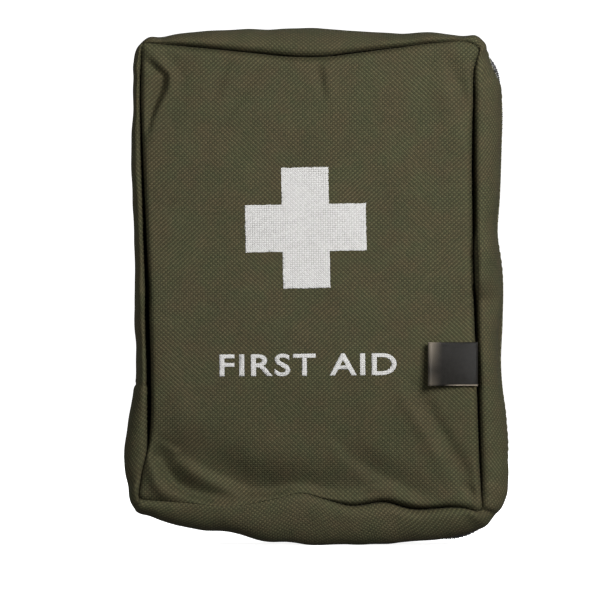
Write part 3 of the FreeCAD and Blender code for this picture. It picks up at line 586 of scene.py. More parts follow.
def held_off(x, z, face):
    """The least height of the front panel over the hard things kept behind it."""
    least = np.full(np.shape(x), NOTHING_THERE)
    for node in HARD_CONTENTS:
        low, high = node_box(node)
        aside = np.hypot(np.maximum.reduce([low[0] - x, x - high[0], 0 * x]),
                         np.maximum.reduce([low[2] - z, z - high[2], 0 * x]))
        least = np.maximum(least, face - low[1] + CLOTH_GAP - DRAPE_SLOPE * aside)
    return least


SOFT_WIDTH = 0.25           # how gently two heights pass into one another


def soft_maximum(first, second):
    """The greater of two heights, rounded over where they meet."""
    return 0.5 * (first + second + np.sqrt((first - second) ** 2 + SOFT_WIDTH**2))


BOW_FULLNESS = 0.55         # how soon a bowed panel reaches its height: less is fuller
BOW_SUNK = 0.45             # the share of the bow by which a panel's edge lies behind its face
LOOK_FROM = -200.0          # well in front of the whole pouch


class PanelShape:
    """A sewn panel between four seam curves: bowed, creased, and pulled in along its seams."""

    def __init__(self, low, high, profiles, radii, face, bow, grooves, creased, seed):
        self.places_x = graded(high[0] - low[0])
        self.places_z = graded(high[1] - low[1])
        self.sides = edge_loop(low, high, profiles, radii, self.places_x, self.places_z)
        self.low, self.high, self.face, self.bow = low, high, face, bow
        self.grooves, self.creased, self.seed = grooves, creased, seed
        self.tree = None
        self.points = self.build()

    def build(self):
        bottom, right, top, left = self.sides
        top, left = top[::-1], left[::-1]
        s, t = self.places_x[:, None, None], self.places_z[None, :, None]
        flat = ((1 - t) * bottom[:, None] + t * top[:, None] + (1 - s) * left[None] + s * right[None]
                - (1 - s) * (1 - t) * bottom[0] - s * (1 - t) * bottom[-1]
                - (1 - s) * t * top[0] - s * t * top[-1])
        return self.raised(flat[..., 0], flat[..., 1])

    def height(self, x, z, s, t):
        """Depth of the panel at points given both in millimetres and as shares of its sides."""
        width, tall = self.high - self.low
        bowed = (np.clip(np.sin(np.pi * s), 0, 1) * np.clip(np.sin(np.pi * t), 0, 1)) ** BOW_FULLNESS
        outward_lift = self.bow * bowed - self.bow * BOW_SUNK
        gaps = {"left": s * width, "right": (1 - s) * width, "bottom": t * tall, "top": (1 - t) * tall}
        calm = np.ones(np.shape(x))
        for side, (depths, reach) in self.grooves.items():
            depth = interpolate(depths, s if side in ("bottom", "top") else t)
            outward_lift = outward_lift - depth * np.exp(-(np.abs(gaps[side]) / reach) ** 1.4)
            calm = calm * (1 - np.exp(-(gaps[side] / 2.5) ** 2))
        if self.creased:
            outward_lift = outward_lift + crease_height(x, z) * calm - sag(z)
        points = np.stack([x, np.full(np.shape(x), self.seed), z], axis=-1)
        unevenness = (0.55 * ripples(points, 34, self.seed) + 0.22 * ripples(points, 13, 5 + self.seed)
                      + 0.07 * ripples(points, 5, 9 + self.seed))
        outward_lift = outward_lift + calm * unevenness
        if self.creased:
            outward_lift = soft_maximum(outward_lift, held_off(x, z, self.face))
        away = -1 if self.face < 0 else 1
        return self.face + away * outward_lift

    def raised(self, x, z):
        s = np.broadcast_to(self.places_x[:, None], x.shape)
        t = np.broadcast_to(self.places_z[None, :], x.shape)
        return np.stack([x, self.height(x, z, s, t), z], axis=-1)

    def surface(self, x, z):
        """Depth of the panel at points given by X and Z, found by looking straight at it."""
        if self.tree is None:
            flat = self.points.reshape(-1, 3)
            self.tree = BVHTree.FromPolygons(flat.tolist(), grid_faces(*self.points.shape[:2]))
        x, z = np.broadcast_arrays(np.asarray(x, float), np.asarray(z, float))
        depths = []
        for across, up in zip(x.ravel(), z.ravel()):
            hit = self.tree.ray_cast(Vector((across, LOOK_FROM, up)), Vector((0.0, 1.0, 0.0)))[0]
            depths.append(self.face if hit is None else hit.y)
        return np.array(depths).reshape(x.shape)


def rect(low, high, grown=0.0):
    """The X and Z limits of a node's box, moved outwards."""
    return np.array([low[0] - grown, low[2] - grown]), np.array([high[0] + grown, high[2] + grown])


# How deep each seam draws the cloth in, against the place along it, and how far that reaches.
FRONT_GROOVES = {
    "left": ([(0, 1.2), (0.04, 2.0), (0.1, 2.2), (0.14, 6.0), (0.7, 6.0), (0.86, 3.6), (0.97, 2.8),
              (1, 1.4)], 0.9),
    "right": ([(0, 1.4), (0.06, 3.4), (0.15, 4.2), (0.9, 4.2), (1, 1.4)], 1.0),
    "top": ([(0, 1.0), (0.03, 2.0), (0.08, 3.2), (0.3, 3.8), (0.8, 3.2), (1, 1.4)], 1.2),
    "bottom": ([(0, 1.4), (0.06, 1.6), (0.14, 0.4), (0.4, 0.4), (0.55, 2.2), (0.64, 3.4), (0.93, 3.6),
                (1, 1.4)], 1.4),
}
REAR_GROOVES = {side: ([(0, 1.4), (1, 1.4)], 1.1) for side in SIDES}
front_shape = PanelShape(*rect(PANEL_LOW, PANEL_HIGH, SEAM_INSET), FRONT_SEAM, (2.5, 2.5, 2.5, 2.0),
                         PANEL_LOW[1], 1.7, FRONT_GROOVES, True, 0.0)
rear_shape = PanelShape(*rect(BACK_LOW, BACK_HIGH, SEAM_INSET), REAR_SEAM, (12, 12, 12, 12),
                        BACK_HIGH[1], 0.2, REAR_GROOVES, False, 3.0)


def seen_from_front(points):
    """Cloth coordinates of points that face the viewer: their X and Z."""
    return points.reshape(-1, 3)[:, [0, 2]]


def interior_sheet(name, rows, uvs, material, thickness, centre=CLOTH_CENTRE):
    """A sheet whose outer side faces away from a centre, thickened inwards."""
    return thicken(face_away(grid_piece(name, rows, uvs, material), centre), thickness, INWARDS)


def build_panel(node, shape, body):
    panel = interior_sheet(node + "_cloth", shape.points, seen_from_front(shape.points), canvas,
                           CLOTH_THICK)
    place(panel, body, "shell_fabric", [node])


def ring_lengths(ring):
    """Distance round a closed ring at each of its points, with the whole way round last."""
    return distances_along(np.vstack([ring, ring[:1]]))


def ring_spread(rows):
    """Distance down each column of rows of points, starting at nought."""
    steps = np.linalg.norm(np.diff(rows, axis=0), axis=2)
    return np.concatenate([np.zeros((1, rows.shape[1])), np.cumsum(steps, axis=0)])


def unit(vectors):
    """Vectors made one long; their last axis holds X, Y and Z."""
    return vectors / np.maximum(np.linalg.norm(vectors, axis=-1, keepdims=True), 1e-9)


OUT_STEPS = (0, 0.03, 0.07, 0.12, 0.18, 0.25, 0.33, 0.42, 0.51, 0.6, 0.7, 0.8, 0.9,
             1.0)   # seam to fullest line
IN_STEPS = 10               # rows from the fullest line to the hem
GROOVE_REACH = 1.1          # how far a seam's groove reaches at the corners
HEM_SHARE, HEM_PROUD = 0.86, 0.35    # where the folded hem starts, and how far it stands proud


def build_gusset(node, shape, full_profiles, full_radii, depths, rim, rim_y, grooves, body, seed):
    """The soft side wall: from the panel's seam, out to its fullest line, then in to a folded hem.

    Returns its rows of points, from the seam to the hem.
    """
    seam = joined(shape.sides)
    full = outline_ring(full_profiles, full_radii, shape)
    full_y = blended_by_side(depths, shape, sum(depths.values()) / 4)
    groove = ring_profile({side: grooves[side][0] for side in SIDES}, shape)
    reach = blended_by_side({side: grooves[side][1] for side in SIDES}, shape, GROOVE_REACH)
    away = -1 if shape.face < 0 else 1
    seam_y = outer_points(shape.points)[:, 1] + away * groove
    lengths = ring_lengths(seam)
    rows = []
    for v in OUT_STEPS:
        turn = v * math.pi / 2
        out, back = math.sin(turn) ** 0.92, 1 - math.cos(turn) ** 0.95
        xz = seam + (full - seam) * out
        y = seam_y + (full_y - seam_y) * back
        rows.append(np.column_stack([xz[:, 0], y, xz[:, 1]]))
    for w in np.linspace(0, 1, IN_STEPS + 1)[1:]:
        turn = w * math.pi / 2
        xz = full + (rim - full) * (1 - math.cos(turn)) ** 0.9
        y = full_y + (rim_y - full_y) * math.sin(turn) ** 0.9
        rows.append(np.column_stack([xz[:, 0], y, xz[:, 1]]))
    rows = np.array(rows)
    spread = ring_spread(rows)
    share = spread / spread[-1]
    rows[:, :, 1] -= away * groove[None, :] * np.exp(-(spread / reach[None, :]) ** 1.4)
    tangent = np.roll(rows, -1, axis=1) - np.roll(rows, 1, axis=1)
    down = np.gradient(rows, axis=0)
    normal = unit(np.cross(tangent, down))
    centre = np.array([(FULL_LOW[0] + FULL_HIGH[0]) / 2, 0, (FULL_LOW[2] + FULL_HIGH[2]) / 2])
    if np.sum(normal * (rows - centre)) < 0:
        normal = -normal
    calm = np.clip(share / 0.12, 0, 1) * np.clip((1 - share) / 0.25, 0, 1)
    wave = 0.55 * ripples(rows, 22, seed) + 0.5 * ripples(rows * np.array([1, 0.4, 1]), 9, seed + 4)
    along = lengths[:-1]
    pucker = corner_nearness(shape) * (0.9 * np.sin(along / 1.9) + 0.6 * np.sin(along / 1.15 + 1.3))
    lift = calm * (wave + pucker[None, :] * np.exp(-share * 3.0)) + (share > HEM_SHARE) * HEM_PROUD
    rows = rows + normal * lift[:, :, None]
    if shape is front_shape:
        rows = gusset_join(rows, normal)
    gusset = interior_sheet(node + "_cloth", *closed_ring(rows, spread, lengths), canvas, CLOTH_THICK)
    place(gusset, body, "shell_fabric", [node])
    return rows


def outer_points(grid):
    """What lies round the edge of a grid, counter-clockwise from the lower left."""
    return np.concatenate([grid[:-1, 0], grid[-1, :-1], grid[:0:-1, -1], grid[0, :0:-1]])


def outline_ring(profiles, radii, shape):
    """A ring round the whole pouch, sampled to match a shell's panel."""
    low, high = rect(FULL_LOW, FULL_HIGH)
    return joined(edge_loop(low, high, profiles, radii, shape.places_x, shape.places_z))


PUCKER_SHARE = 0.07         # the share of a side, beside a corner, that puckers


def corner_nearness(shape):
    """1 at every corner of a ring, falling to nought beside it."""
    ring = []
    for side in SIDES:
        places = side_places(shape, side)
        nearness = np.minimum(places, 1 - places)[:-1]
        ring.append(np.exp(-(nearness / PUCKER_SHARE) ** 2))
    return np.concatenate(ring)


JOIN_BELOW = 3.2            # the cross seam lies this far below the hinge strip
LEFT_WALL = -55.0           # everything beyond this belongs to the left wall


def gusset_join(rows, normal):
    """The cross seam on the left side, where the full gusset meets the plain hinge section."""
    join_z = node_box("hinge_strip")[0][2] - JOIN_BELOW
    on_left = rows[:, :, 0] < LEFT_WALL
    gap = rows[:, :, 2] - join_z
    dip = 0.4 * np.exp(-(gap / 0.6) ** 2) - 0.2 * np.exp(-((gap + 2.0) / 1.6) ** 2)
    return rows - normal * (dip * on_left)[:, :, None]


def face_away(piece, centre):
    """Turns a sheet's faces so that, taken together, they look away from a point in millimetres."""
    mesh = piece.data
    count = len(mesh.polygons)
    normals, centres, areas = np.zeros(count * 3), np.zeros(count * 3), np.zeros(count)
    mesh.polygons.foreach_get("normal", normals)
    mesh.polygons.foreach_get("center", centres)
    mesh.polygons.foreach_get("area", areas)
    spokes = centres.reshape(-1, 3) - np.asarray(centre) * MM
    if np.sum(np.sum(normals.reshape(-1, 3) * spokes, axis=1) * areas) < 0:
        mesh.flip_normals()
    return piece


def closed_ring(rows, spread, lengths):
    """Rows and cloth coordinates of a closed ring, with the first column repeated at the end."""
    wrapped = np.concatenate([rows, rows[:, :1]], axis=1)
    v = np.concatenate([spread, spread[:, :1]], axis=1)
    u = np.broadcast_to(lengths[None, :], v.shape)
    return wrapped, np.column_stack([u.ravel(), v.ravel()])


# ------------------------------------------------------------------------------ threads and tubes
def cross_directions(path):
    """Two steady directions square to a path, at every point of it."""
    tangents = unit(np.gradient(np.asarray(path, float), axis=0))
    first = np.cross(tangents[0], (0.0, 0.0, 1.0))
    if np.linalg.norm(first) < 0.1:
        first = np.cross(tangents[0], (0.0, 1.0, 0.0))
    sides = [first / np.linalg.norm(first)]
    for tangent in tangents[1:]:
        side = sides[-1] - tangent * np.dot(sides[-1], tangent)
        sides.append(side / np.linalg.norm(side))
    sides = np.array(sides)
    return sides, np.cross(tangents, sides)


def ring_quads(rings, around):
    """Quads between closed rings of points."""
    return [(ring * around + side, ring * around + (side + 1) % around,
             (ring + 1) * around + (side + 1) % around, (ring + 1) * around + side)
            for ring in range(rings - 1) for side in range(around)]


def tube_points(path, radius, around=6):
    """Points and faces of a closed tube round a path."""
    first, second = cross_directions(path)
    angles = np.arange(around) * 2 * math.pi / around
    rings = (path[:, None] + radius * (np.cos(angles)[None, :, None] * first[:, None]
                                       + np.sin(angles)[None, :, None] * second[:, None]))
    count = len(path)
    faces = ring_quads(count, around)
    faces.append(tuple(range(around))[::-1])
    faces.append(tuple((count - 1) * around + side for side in range(around)))
    return rings.reshape(-1, 3), faces


def many(name, parts, material):
    """One mesh from several lists of points and faces."""
    points, faces, start = [], [], 0
    for part_points, part_faces in parts:
        points.append(part_points)
        faces += [tuple(index + start for index in face) for face in part_faces]
        start += len(part_points)
    return mesh_piece(name, np.concatenate(points), faces, material)


LOOK_AHEAD = 0.3            # a path's direction is measured this far to either side of a point


def walk(path, spacing):
    """Points evenly spaced along a path, with the direction at each."""
    lengths = distances_along(path)

    def points_at(places):
        return np.column_stack([np.interp(places, lengths, path[:, axis]) for axis in range(3)])

    places = np.arange(spacing / 2, lengths[-1], spacing)
    return points_at(places), unit(points_at(places + LOOK_AHEAD) - points_at(places - LOOK_AHEAD))


# ------------------------------------------------------------------------------ materials
OLIVE = (0.0365, 0.0334, 0.0165)
INK = (0.346, 0.342, 0.334)
CANVAS_PITCH = 0.00087      # metres between the canvas's threads
CANVAS_STRETCH = 0.913

canvas = woven("olive_canvas", OLIVE, CANVAS_PITCH, stretch=CANVAS_STRETCH)
canvas_print = woven("printed_canvas", OLIVE, CANVAS_PITCH, stretch=CANVAS_STRETCH, ink=INK)


def thread_material(name, colour, roughness=0.6):
    """Sewing thread with a fine fibre grain."""
    g = Graph(name)
    fibre, _ = g.noise(g.position(), 2600.0, 2.0)
    tone = g.ramp(fibre, 0.3, 0.7, 0.75, 1.2)
    base = g.tinted(colour, tone)
    g.bump(fibre, 0.00004)
    return g.surface(base, roughness=roughness, sheen=0.1, specular=0.4)


HIGHLIGHT_START, HIGHLIGHT_END = 0.0255, 0.0195     # distance along the ribbon over which a painted highlight brightens its fold
EDGE_HIGHLIGHT_WIDTH = 0.0007                        # width of the painted highlight along the ribbon's lower edge
OUTER_LEAF = 0.026, 0.031               # distance along the ribbon over which its outer leaf starts
TWILL_PITCH = 0.00042


def satin_material(name, colour, highlight_colour, low_edge, high_edge):
    """Smooth ribbon: a twill line with painted shade, painted highlights at its fold's ends and along its
    lower edge.
    """
    g = Graph(name)
    along, across, _ = g.split(g.cloth_uv())
    twill = g.math("SINE", g.math("MULTIPLY", g.math("ADD", along, g.math("MULTIPLY", across, 0.6)),
                                  2 * math.pi / TWILL_PITCH))
    mottle, _ = g.noise(g.cloth_uv(), 700.0, 3.0)
    # painted shade: the twill's grooves darker and its ridges lighter, with a real mottle in the tone
    tone = g.math("MULTIPLY", g.ramp(twill, -1.0, 1.0, 0.88, 1.12), g.ramp(mottle, 0.3, 0.7, 0.85, 1.15))
    base = g.tinted(colour, tone)
    middle = low_edge + 0.35 * (high_edge - low_edge)
    # painted highlight on the fold: brightest at the ribbon's top, less at its bottom, faint between
    ends = g.math("ADD", g.ramp(across, middle, high_edge, 0.12, 1.0),
                  g.ramp(across, middle, low_edge, 0.0, 0.45))
    fold_highlight = g.math("MULTIPLY", g.math("POWER", g.ramp(along, HIGHLIGHT_START, HIGHLIGHT_END), 1.6), ends)
    base = g.mix(g.math("MINIMUM", fold_highlight, 1.0), base, shade(highlight_colour, 1.0))
    # painted highlight: a bright line along the lower edge of the ribbon's outer leaf
    edge_highlight = g.math("MULTIPLY", g.ramp(across, low_edge + EDGE_HIGHLIGHT_WIDTH, low_edge + 0.4 * EDGE_HIGHLIGHT_WIDTH),
                     g.ramp(along, *OUTER_LEAF))
    base = g.mix(edge_highlight, base, shade(highlight_colour, 2.2))
    g.bump(twill, 0.00003)
    return g.surface(base, roughness=g.ramp(mottle, 0.3, 0.7, 0.34, 0.44), specular=0.10)


def ribbed_tape(name, colour, pitch):
    """Woven narrow tape: rows of slanted ribs that turn at the middle of each band."""
    g = Graph(name)
    along, across, _ = g.split(g.cloth_uv())
    slant = g.math("ADD", along, g.math("PINGPONG", across, pitch * 1.6))
    rib = g.math("SINE", g.math("MULTIPLY", slant, 2 * math.pi / pitch))
    row = g.math("SINE", g.math("MULTIPLY", across, 2 * math.pi / (pitch * 0.8)))
    height = g.math("MULTIPLY_ADD", row, 0.35, g.math("MULTIPLY", rib, 0.65))
    mottle, _ = g.noise(g.cloth_uv(), 400.0, 3.0)
    # painted shade: darker in the grooves between the ribs and lighter on their crests, with a real mottle
    tone = g.math("MULTIPLY", g.ramp(height, -1.0, 1.0, 0.72, 1.18), g.ramp(mottle, 0.3, 0.7, 0.88, 1.12))
    base = g.tinted(colour, tone)
    g.bump(height, 0.00010)
    return g.surface(base, roughness=0.75, specular=0.15)


olive_thread = thread_material("olive_thread", (0.105, 0.10, 0.062))
TAG_LOW, TAG_HIGH = node_box("side_tag")
TAG_RISE = 0.6               # how much higher the tag sits than its seam notch
# the second colour is that of the painted highlights on the tag's fold and lower edge
tag_satin = satin_material("black_satin", (0.0090, 0.0084, 0.0075), (0.150, 0.128, 0.100),
                           (TAG_LOW[2] + TAG_RISE) * MM, (TAG_HIGH[2] + TAG_RISE) * MM)
zip_tape_cloth = ribbed_tape("zip_tape_cloth", (0.017, 0.017, 0.017), 0.0007)


def coil_material():
    """Black nylon, scuffed paler in places."""
    g = Graph("black_nylon_coil")
    scuff, _ = g.noise(g.position(), 900.0, 3.0)
    tone = g.ramp(scuff, 0.35, 0.75, 0.8, 1.5)
    base = g.tinted((0.022, 0.022, 0.023), tone)
    g.bump(scuff, 0.00002)
    return g.surface(base, roughness=g.ramp(scuff, 0.3, 0.7, 0.32, 0.5), specular=0.5)


coil_nylon = coil_material()


# ------------------------------------------------------------------------------ front and rear shells
FRONT_FULL_DEPTHS = {"bottom": -17.0, "right": -19.0, "top": -17.5, "left": -19.5}
REAR_FULL_DEPTHS = {"bottom": 16.0, "right": 17.0, "top": 16.0, "left": 17.0}
RIM_HALF = 6.3              # each hem's distance from the zip's middle
RIM_SHARE = 0.62            # how far a hem has come in from the fullest line towards the zip
FRONT_RADII = (6, 17, 5, 8)     # at the lower left, lower right, upper right and upper left corners
REAR_RADII = (16, 16, 14, 12)
ZIP_RADII = (14, 19, 12, 10)
STRIP_CLEAR = 3.0           # the zip ends this far above and below the hinge strip
ROOT_INSET = 1.6            # the zip tape is sewn on this far inside the hem


def offset_ring(ring, distance):
    """A counter-clockwise ring moved outwards."""
    run = np.roll(ring, -1, axis=0) - np.roll(ring, 1, axis=0)
    run /= np.linalg.norm(run, axis=1, keepdims=True)
    return ring + distance * np.column_stack([run[:, 1], -run[:, 0]])


LEVEL = {side: [(0, 0.0), (1, 0.0)] for side in SIDES}
HEM_BULGE = {"right": [(0, 0.0), (0.12, 0.7), (0.85, 0.7), (1, 0.0)]}    # where the hem stands proud


class ShellRings:
    """The zip's line and the hem beside it, sampled to match one shell."""

    def __init__(self, shape, profiles, radii):
        full = outline_ring(profiles, radii, shape)
        self.zip = outline_ring(ZIP_LINE, ZIP_RADII, shape)
        bulge = ring_profile(LEVEL | HEM_BULGE, shape)
        self.rim = offset_ring(full + RIM_SHARE * (self.zip - full), bulge[:, None])
        self.root = offset_ring(self.rim, -ROOT_INSET - bulge[:, None])
        counts = [len(side) - 1 for side in shape.sides]
        self.left_start = sum(counts[:3])

    def run(self, ring):
        """The ring as an open line that leaves out the stretch beside the hinge strip."""
        low, high = node_box("hinge_strip")
        beside = ((np.arange(len(ring)) >= self.left_start) & (self.zip[:, 1] > low[2] - STRIP_CLEAR)
                  & (self.zip[:, 1] < high[2] + STRIP_CLEAR))
        first = int(np.nonzero(beside)[0][-1]) + 1
        return np.roll(ring, -first, axis=0)[:len(ring) - int(beside.sum())]


front_rings = ShellRings(front_shape, FRONT_FULL, FRONT_RADII)
rear_rings = ShellRings(rear_shape, REAR_FULL, REAR_RADII)

build_panel("front_panel", front_shape, "cover")
build_panel("rear_panel", rear_shape, "root")
front_rows = build_gusset("front_gusset", front_shape, FRONT_FULL, FRONT_RADII, FRONT_FULL_DEPTHS,
                          front_rings.rim, -RIM_HALF, FRONT_GROOVES, "cover", 0.0)
rear_rows = build_gusset("rear_gusset", rear_shape, REAR_FULL, REAR_RADII, REAR_FULL_DEPTHS,
                         rear_rings.rim, RIM_HALF, REAR_GROOVES, "root", 2.0)


# ------------------------------------------------------------------------------ print
PRINT_LIFT = 0.10           # the ink's face stands this far in front of the cloth
PRINT_THICK = 0.08
PRINT_STEP = 1.6            # size of the cells that let the print follow the cloth
BAR_SHARE = 0.39            # half the width of the cross's bars, as a share of half its width
RAGGED_STEP = 0.42
LETTER_CENTRE_X = -4.0
LETTER_BASE = 62.0
LETTER_HIGH = 8.3
LETTER_WIDE = 65.3
LETTER_TILT = math.radians(0.5)
CROSS_TILT = math.radians(1.0)


def lay_on_front(work):
    """Cuts a flat mesh, drawn in X and Z, into small cells and lays it on the front panel."""
    for axis, normal in ((0, Vector((1, 0, 0))), (2, Vector((0, 0, 1)))):
        values = [vertex.co[axis] for vertex in work.verts]
        for cut in np.arange(min(values) + PRINT_STEP / 2, max(values), PRINT_STEP):
            bmesh.ops.bisect_plane(work, geom=work.verts[:] + work.edges[:] + work.faces[:],
                                   plane_co=normal * cut, plane_no=normal)
    for vertex in work.verts:
        vertex.co.y = float(front_shape.surface(vertex.co.x, vertex.co.z)) - PRINT_LIFT


def printed_piece(name, work):
    """A thin layer of ink, from a flat mesh that this uses up."""
    lay_on_front(work)
    points = np.array([vertex.co[:] for vertex in work.verts])
    for index, vertex in enumerate(work.verts):
        vertex.index = index
    faces = [[vertex.index for vertex in face.verts] for face in work.faces]
    work.free()
    piece = mesh_piece(name, points, faces, canvas_print, seen_from_front(points))
    face_front(piece)
    return thicken(piece, PRINT_THICK, INWARDS)


def face_front(piece):
    """Turns the faces of a thin front print towards -Y."""
    work = bmesh.new()
    work.from_mesh(piece.data)
    for face in work.faces:
        face.normal_update()
        if face.normal.y > 0:
            face.normal_flip()
    work.to_mesh(piece.data)
    work.free()


def cross_outline():
    """The cross's outline in X and Z, a little ragged where the ink meets the threads."""
    low, high = node_box("cross_print")
    centre_x, centre_z = (low[0] + high[0]) / 2, (low[2] + high[2]) / 2
    half = (high[0] - low[0]) / 2
    bar = half * BAR_SHARE
    ragged = []
    corners = [(-bar, -half), (bar, -half), (bar, -bar), (half, -bar), (half, bar), (bar, bar),
               (bar, half), (-bar, half), (-bar, bar), (-half, bar), (-half, -bar), (-bar, -bar)]
    for start, end in zip(corners, corners[1:] + corners[:1]):
        run = np.array(end) - np.array(start)
        for t in np.linspace(0, 1, max(2, int(np.linalg.norm(run) / RAGGED_STEP)), endpoint=False):
            x, z = np.array(start) + t * run
            wobble = 0.16 * ripple(x, 3.0, z, 0.5) + 0.1 * ripple(x, 9.0, z, 3.0)
            ragged.append((x + wobble, z + wobble * (1 if abs(run[0]) > abs(run[1]) else -1)))
    turn = Matrix.Rotation(CROSS_TILT, 2)
    turned = [turn @ Vector(pair) for pair in ragged]
    return [(centre_x + spot.x, centre_z + spot.y) for spot in turned]


def build_cross():
    work = bmesh.new()
    corners = [work.verts.new((x, 0, z)) for x, z in cross_outline()]
    face = work.faces.new(corners)
    face.normal_update()
    bmesh.ops.triangulate(work, faces=[face], ngon_method="EAR_CLIP")
    return place(printed_piece("cross_print_ink", work), "cover", "print_ink", ["cross_print"])


def build_lettering():
    """The words under the cross, in the program's own letters, stretched to size."""
    curve = bpy.data.curves.new("lettering", "FONT")
    curve.body = "FIRST AID"
    curve.size = 1.0
    curve.space_character = 1.12
    curve.offset = 0.018
    curve.resolution_u = 4
    text = bpy.data.objects.new("lettering_outline", curve)
    bpy.context.scene.collection.objects.link(text)
    flat = bpy.data.meshes.new_from_object(text.evaluated_get(bpy.context.evaluated_depsgraph_get()))
    bpy.data.objects.remove(text)
    points = np.array([vertex.co[:] for vertex in flat.vertices])
    low, high = points.min(axis=0), points.max(axis=0)
    work = bmesh.new()
    work.from_mesh(flat)
    bpy.data.meshes.remove(flat)
    turn = Matrix.Rotation(LETTER_TILT, 2)
    for vertex in work.verts:
        across = ((vertex.co.x - low[0]) / (high[0] - low[0]) - 0.5) * LETTER_WIDE
        up = (vertex.co.y - low[1]) / (high[1] - low[1]) * LETTER_HIGH
        turned = turn @ Vector((across, up))
        vertex.co = (LETTER_CENTRE_X + turned.x, 0, LETTER_BASE + turned.y)
    return place(printed_piece("lettering_print_ink", work), "cover", "print_ink")


build_cross()
build_lettering()


# ------------------------------------------------------------------------------ side tag
TAG_LIFT = 2.3              # how far the folded end stands off the panel
TAG_THICK = 0.24
TAG_FOLD = 1.0              # radius of the fold
TAG_ROWS, TAG_POINTS = 24, 22
LEAVES_APART = 0.32         # at the seam


def build_tag():
    """A folded satin loop caught in the right seam, its fold standing a little proud."""
    low, high = TAG_LOW, TAG_HIGH
    root_x, tip_x = high[0] - 0.4, low[0] + 1.3
    runs = np.linspace(0, 1, TAG_POINTS)
    rows = []
    for z in np.linspace(low[2] + 0.15, high[2] - 0.15, TAG_ROWS) + TAG_RISE:
        t = np.clip((z - low[2]) / (high[2] - low[2]), 0, 1)
        level = np.full(TAG_POINTS, z)
        base = front_shape.surface(np.linspace(root_x - 3.0, tip_x, TAG_POINTS), level)
        base = np.minimum.accumulate(base[::-1])[::-1] - 0.3
        wave = 0.5 * math.sin(math.pi * t) - 0.7 * t
        lift = 0.1 + TAG_LIFT * runs**2.5 + wave * runs**2
        under = np.column_stack([root_x + (tip_x - root_x) * runs, base - lift, level])
        open_gap = LEAVES_APART + (2 * TAG_FOLD - LEAVES_APART) * runs**2.2
        turn = np.linspace(0, math.pi, 9)[1:-1]
        end = under[-1]
        round_x = end[0] - (TAG_FOLD * np.sin(turn)) * 1.1
        round_y = end[1] - TAG_FOLD + TAG_FOLD * np.cos(turn)
        bend = np.column_stack([round_x, round_y, np.full(len(turn), z)])
        over = np.column_stack([under[:, 0], under[:, 1] - open_gap, under[:, 2]])[::-1]
        rows.append(np.concatenate([under, bend, over]))
    rows = np.array(rows)
    along = np.concatenate([distances_along(row) for row in rows])
    tag = grid_piece("side_tag_ribbon", rows, np.column_stack([along, rows[:, :, 2].ravel()]), tag_satin)
    thicken(tag, TAG_THICK, CENTRED)
    place(tag, "tag", "tag_satin", ["side_tag"])


build_tag()


# ------------------------------------------------------------------------------ zip
TAPE_ROOT = 11.5            # how deep the zip's tape reaches under a hem
TAPE_EDGE = 0.55            # how far its edge stays from the zip's middle
TAPE_ROWS = 9
TAPE_THICK = 0.5
COIL_PITCH = 1.45
COIL_STEPS = 10             # points of the wire in each turn
COIL_WIRE = 0.3             # radius of the wire
COIL_RISE = 0.72            # half the height of a turn
COIL_HALF = 1.3             # half its width
COIL_CORE = 0.5             # the cord that the turns are wound over


def build_zip_side(rings, way, label, body):
    """Half of the zip. way is -1 for the half towards the front and 1 for the other."""
    root, edge = rings.run(rings.root), rings.run(rings.zip)
    rows = []
    for t in np.linspace(0, 1, TAPE_ROWS):
        xz = root + (edge - root) * t**1.8
        depth = way * (TAPE_ROOT + (TAPE_EDGE - TAPE_ROOT) * t)
        rows.append(np.column_stack([xz[:, 0], np.full(len(xz), depth), xz[:, 1]]))
    rows = np.array(rows)
    along = distances_along(edge)
    across = np.linspace(0, TAPE_ROOT, TAPE_ROWS)
    uvs = np.column_stack([np.tile(along, TAPE_ROWS), np.repeat(across, len(along))])
    tape = interior_sheet("zip_tape_" + label + "_cloth", rows, uvs, zip_tape_cloth, TAPE_THICK)
    place(tape, body, "zip_tape", ["zip_tape_" + label])
    build_coil(rings, way, label, body)


def build_coil(rings, way, label, body):
    """One wire wound in flat turns along the tape's edge. The other side's turns lie between them."""
    centre = rings.run(offset_ring(rings.zip, COIL_RISE + 0.1))
    line = np.column_stack([centre[:, 0], np.full(len(centre), way * (COIL_HALF - 0.15)), centre[:, 1]])
    points, runs = walk(line, COIL_PITCH / COIL_STEPS)
    out = np.cross(runs, BACK)
    turn = np.arange(len(points)) * 2 * math.pi / COIL_STEPS + (math.pi if way > 0 else 0)
    wire = points + COIL_RISE * np.sin(turn)[:, None] * out + COIL_HALF * np.cos(turn)[:, None] * BACK
    parts = [tube_points(wire, COIL_WIRE, 5), tube_points(points, COIL_CORE)]
    coil = many("zip_coil_" + label + "_wire", parts, coil_nylon)
    place(coil, body, "zip_coil", ["zip_coil_" + label])


build_zip_side(front_rings, -1, "front", "cover")
build_zip_side(rear_rings, 1, "rear", "root")


# ------------------------------------------------------------------------------ hard pieces
def metal_material(name, colour, roughness, metallic, scratch=0.25):
    """Coated or bare metal with fine handling marks and slightly worn patches."""
    g = Graph(name)
    x, y, z = g.split(g.position())
    streaks, _ = g.noise(g.join(g.math("MULTIPLY", x, 0.2), y, z), 3500.0, 4.0)
    wear, _ = g.noise(g.position(), 260.0, 5.0, 0.65)
    tone = g.math("MULTIPLY", g.ramp(streaks, 0.3, 0.7, 1 - scratch, 1 + scratch),
                  g.ramp(wear, 0.35, 0.75, 0.9, 1.25))
    base = g.tinted(colour, tone)
    g.bump(streaks, 0.000015)
    worn = g.ramp(wear, 0.3, 0.7, roughness * 0.8, roughness * 1.3)
    return g.surface(base, roughness=worn, metallic=metallic)


black_metal = metal_material("black_enamelled_metal", (0.016, 0.016, 0.017), 0.48, 0.4)
steel = metal_material("brushed_steel", (0.27, 0.274, 0.278), 0.3, 1.0, 0.12)


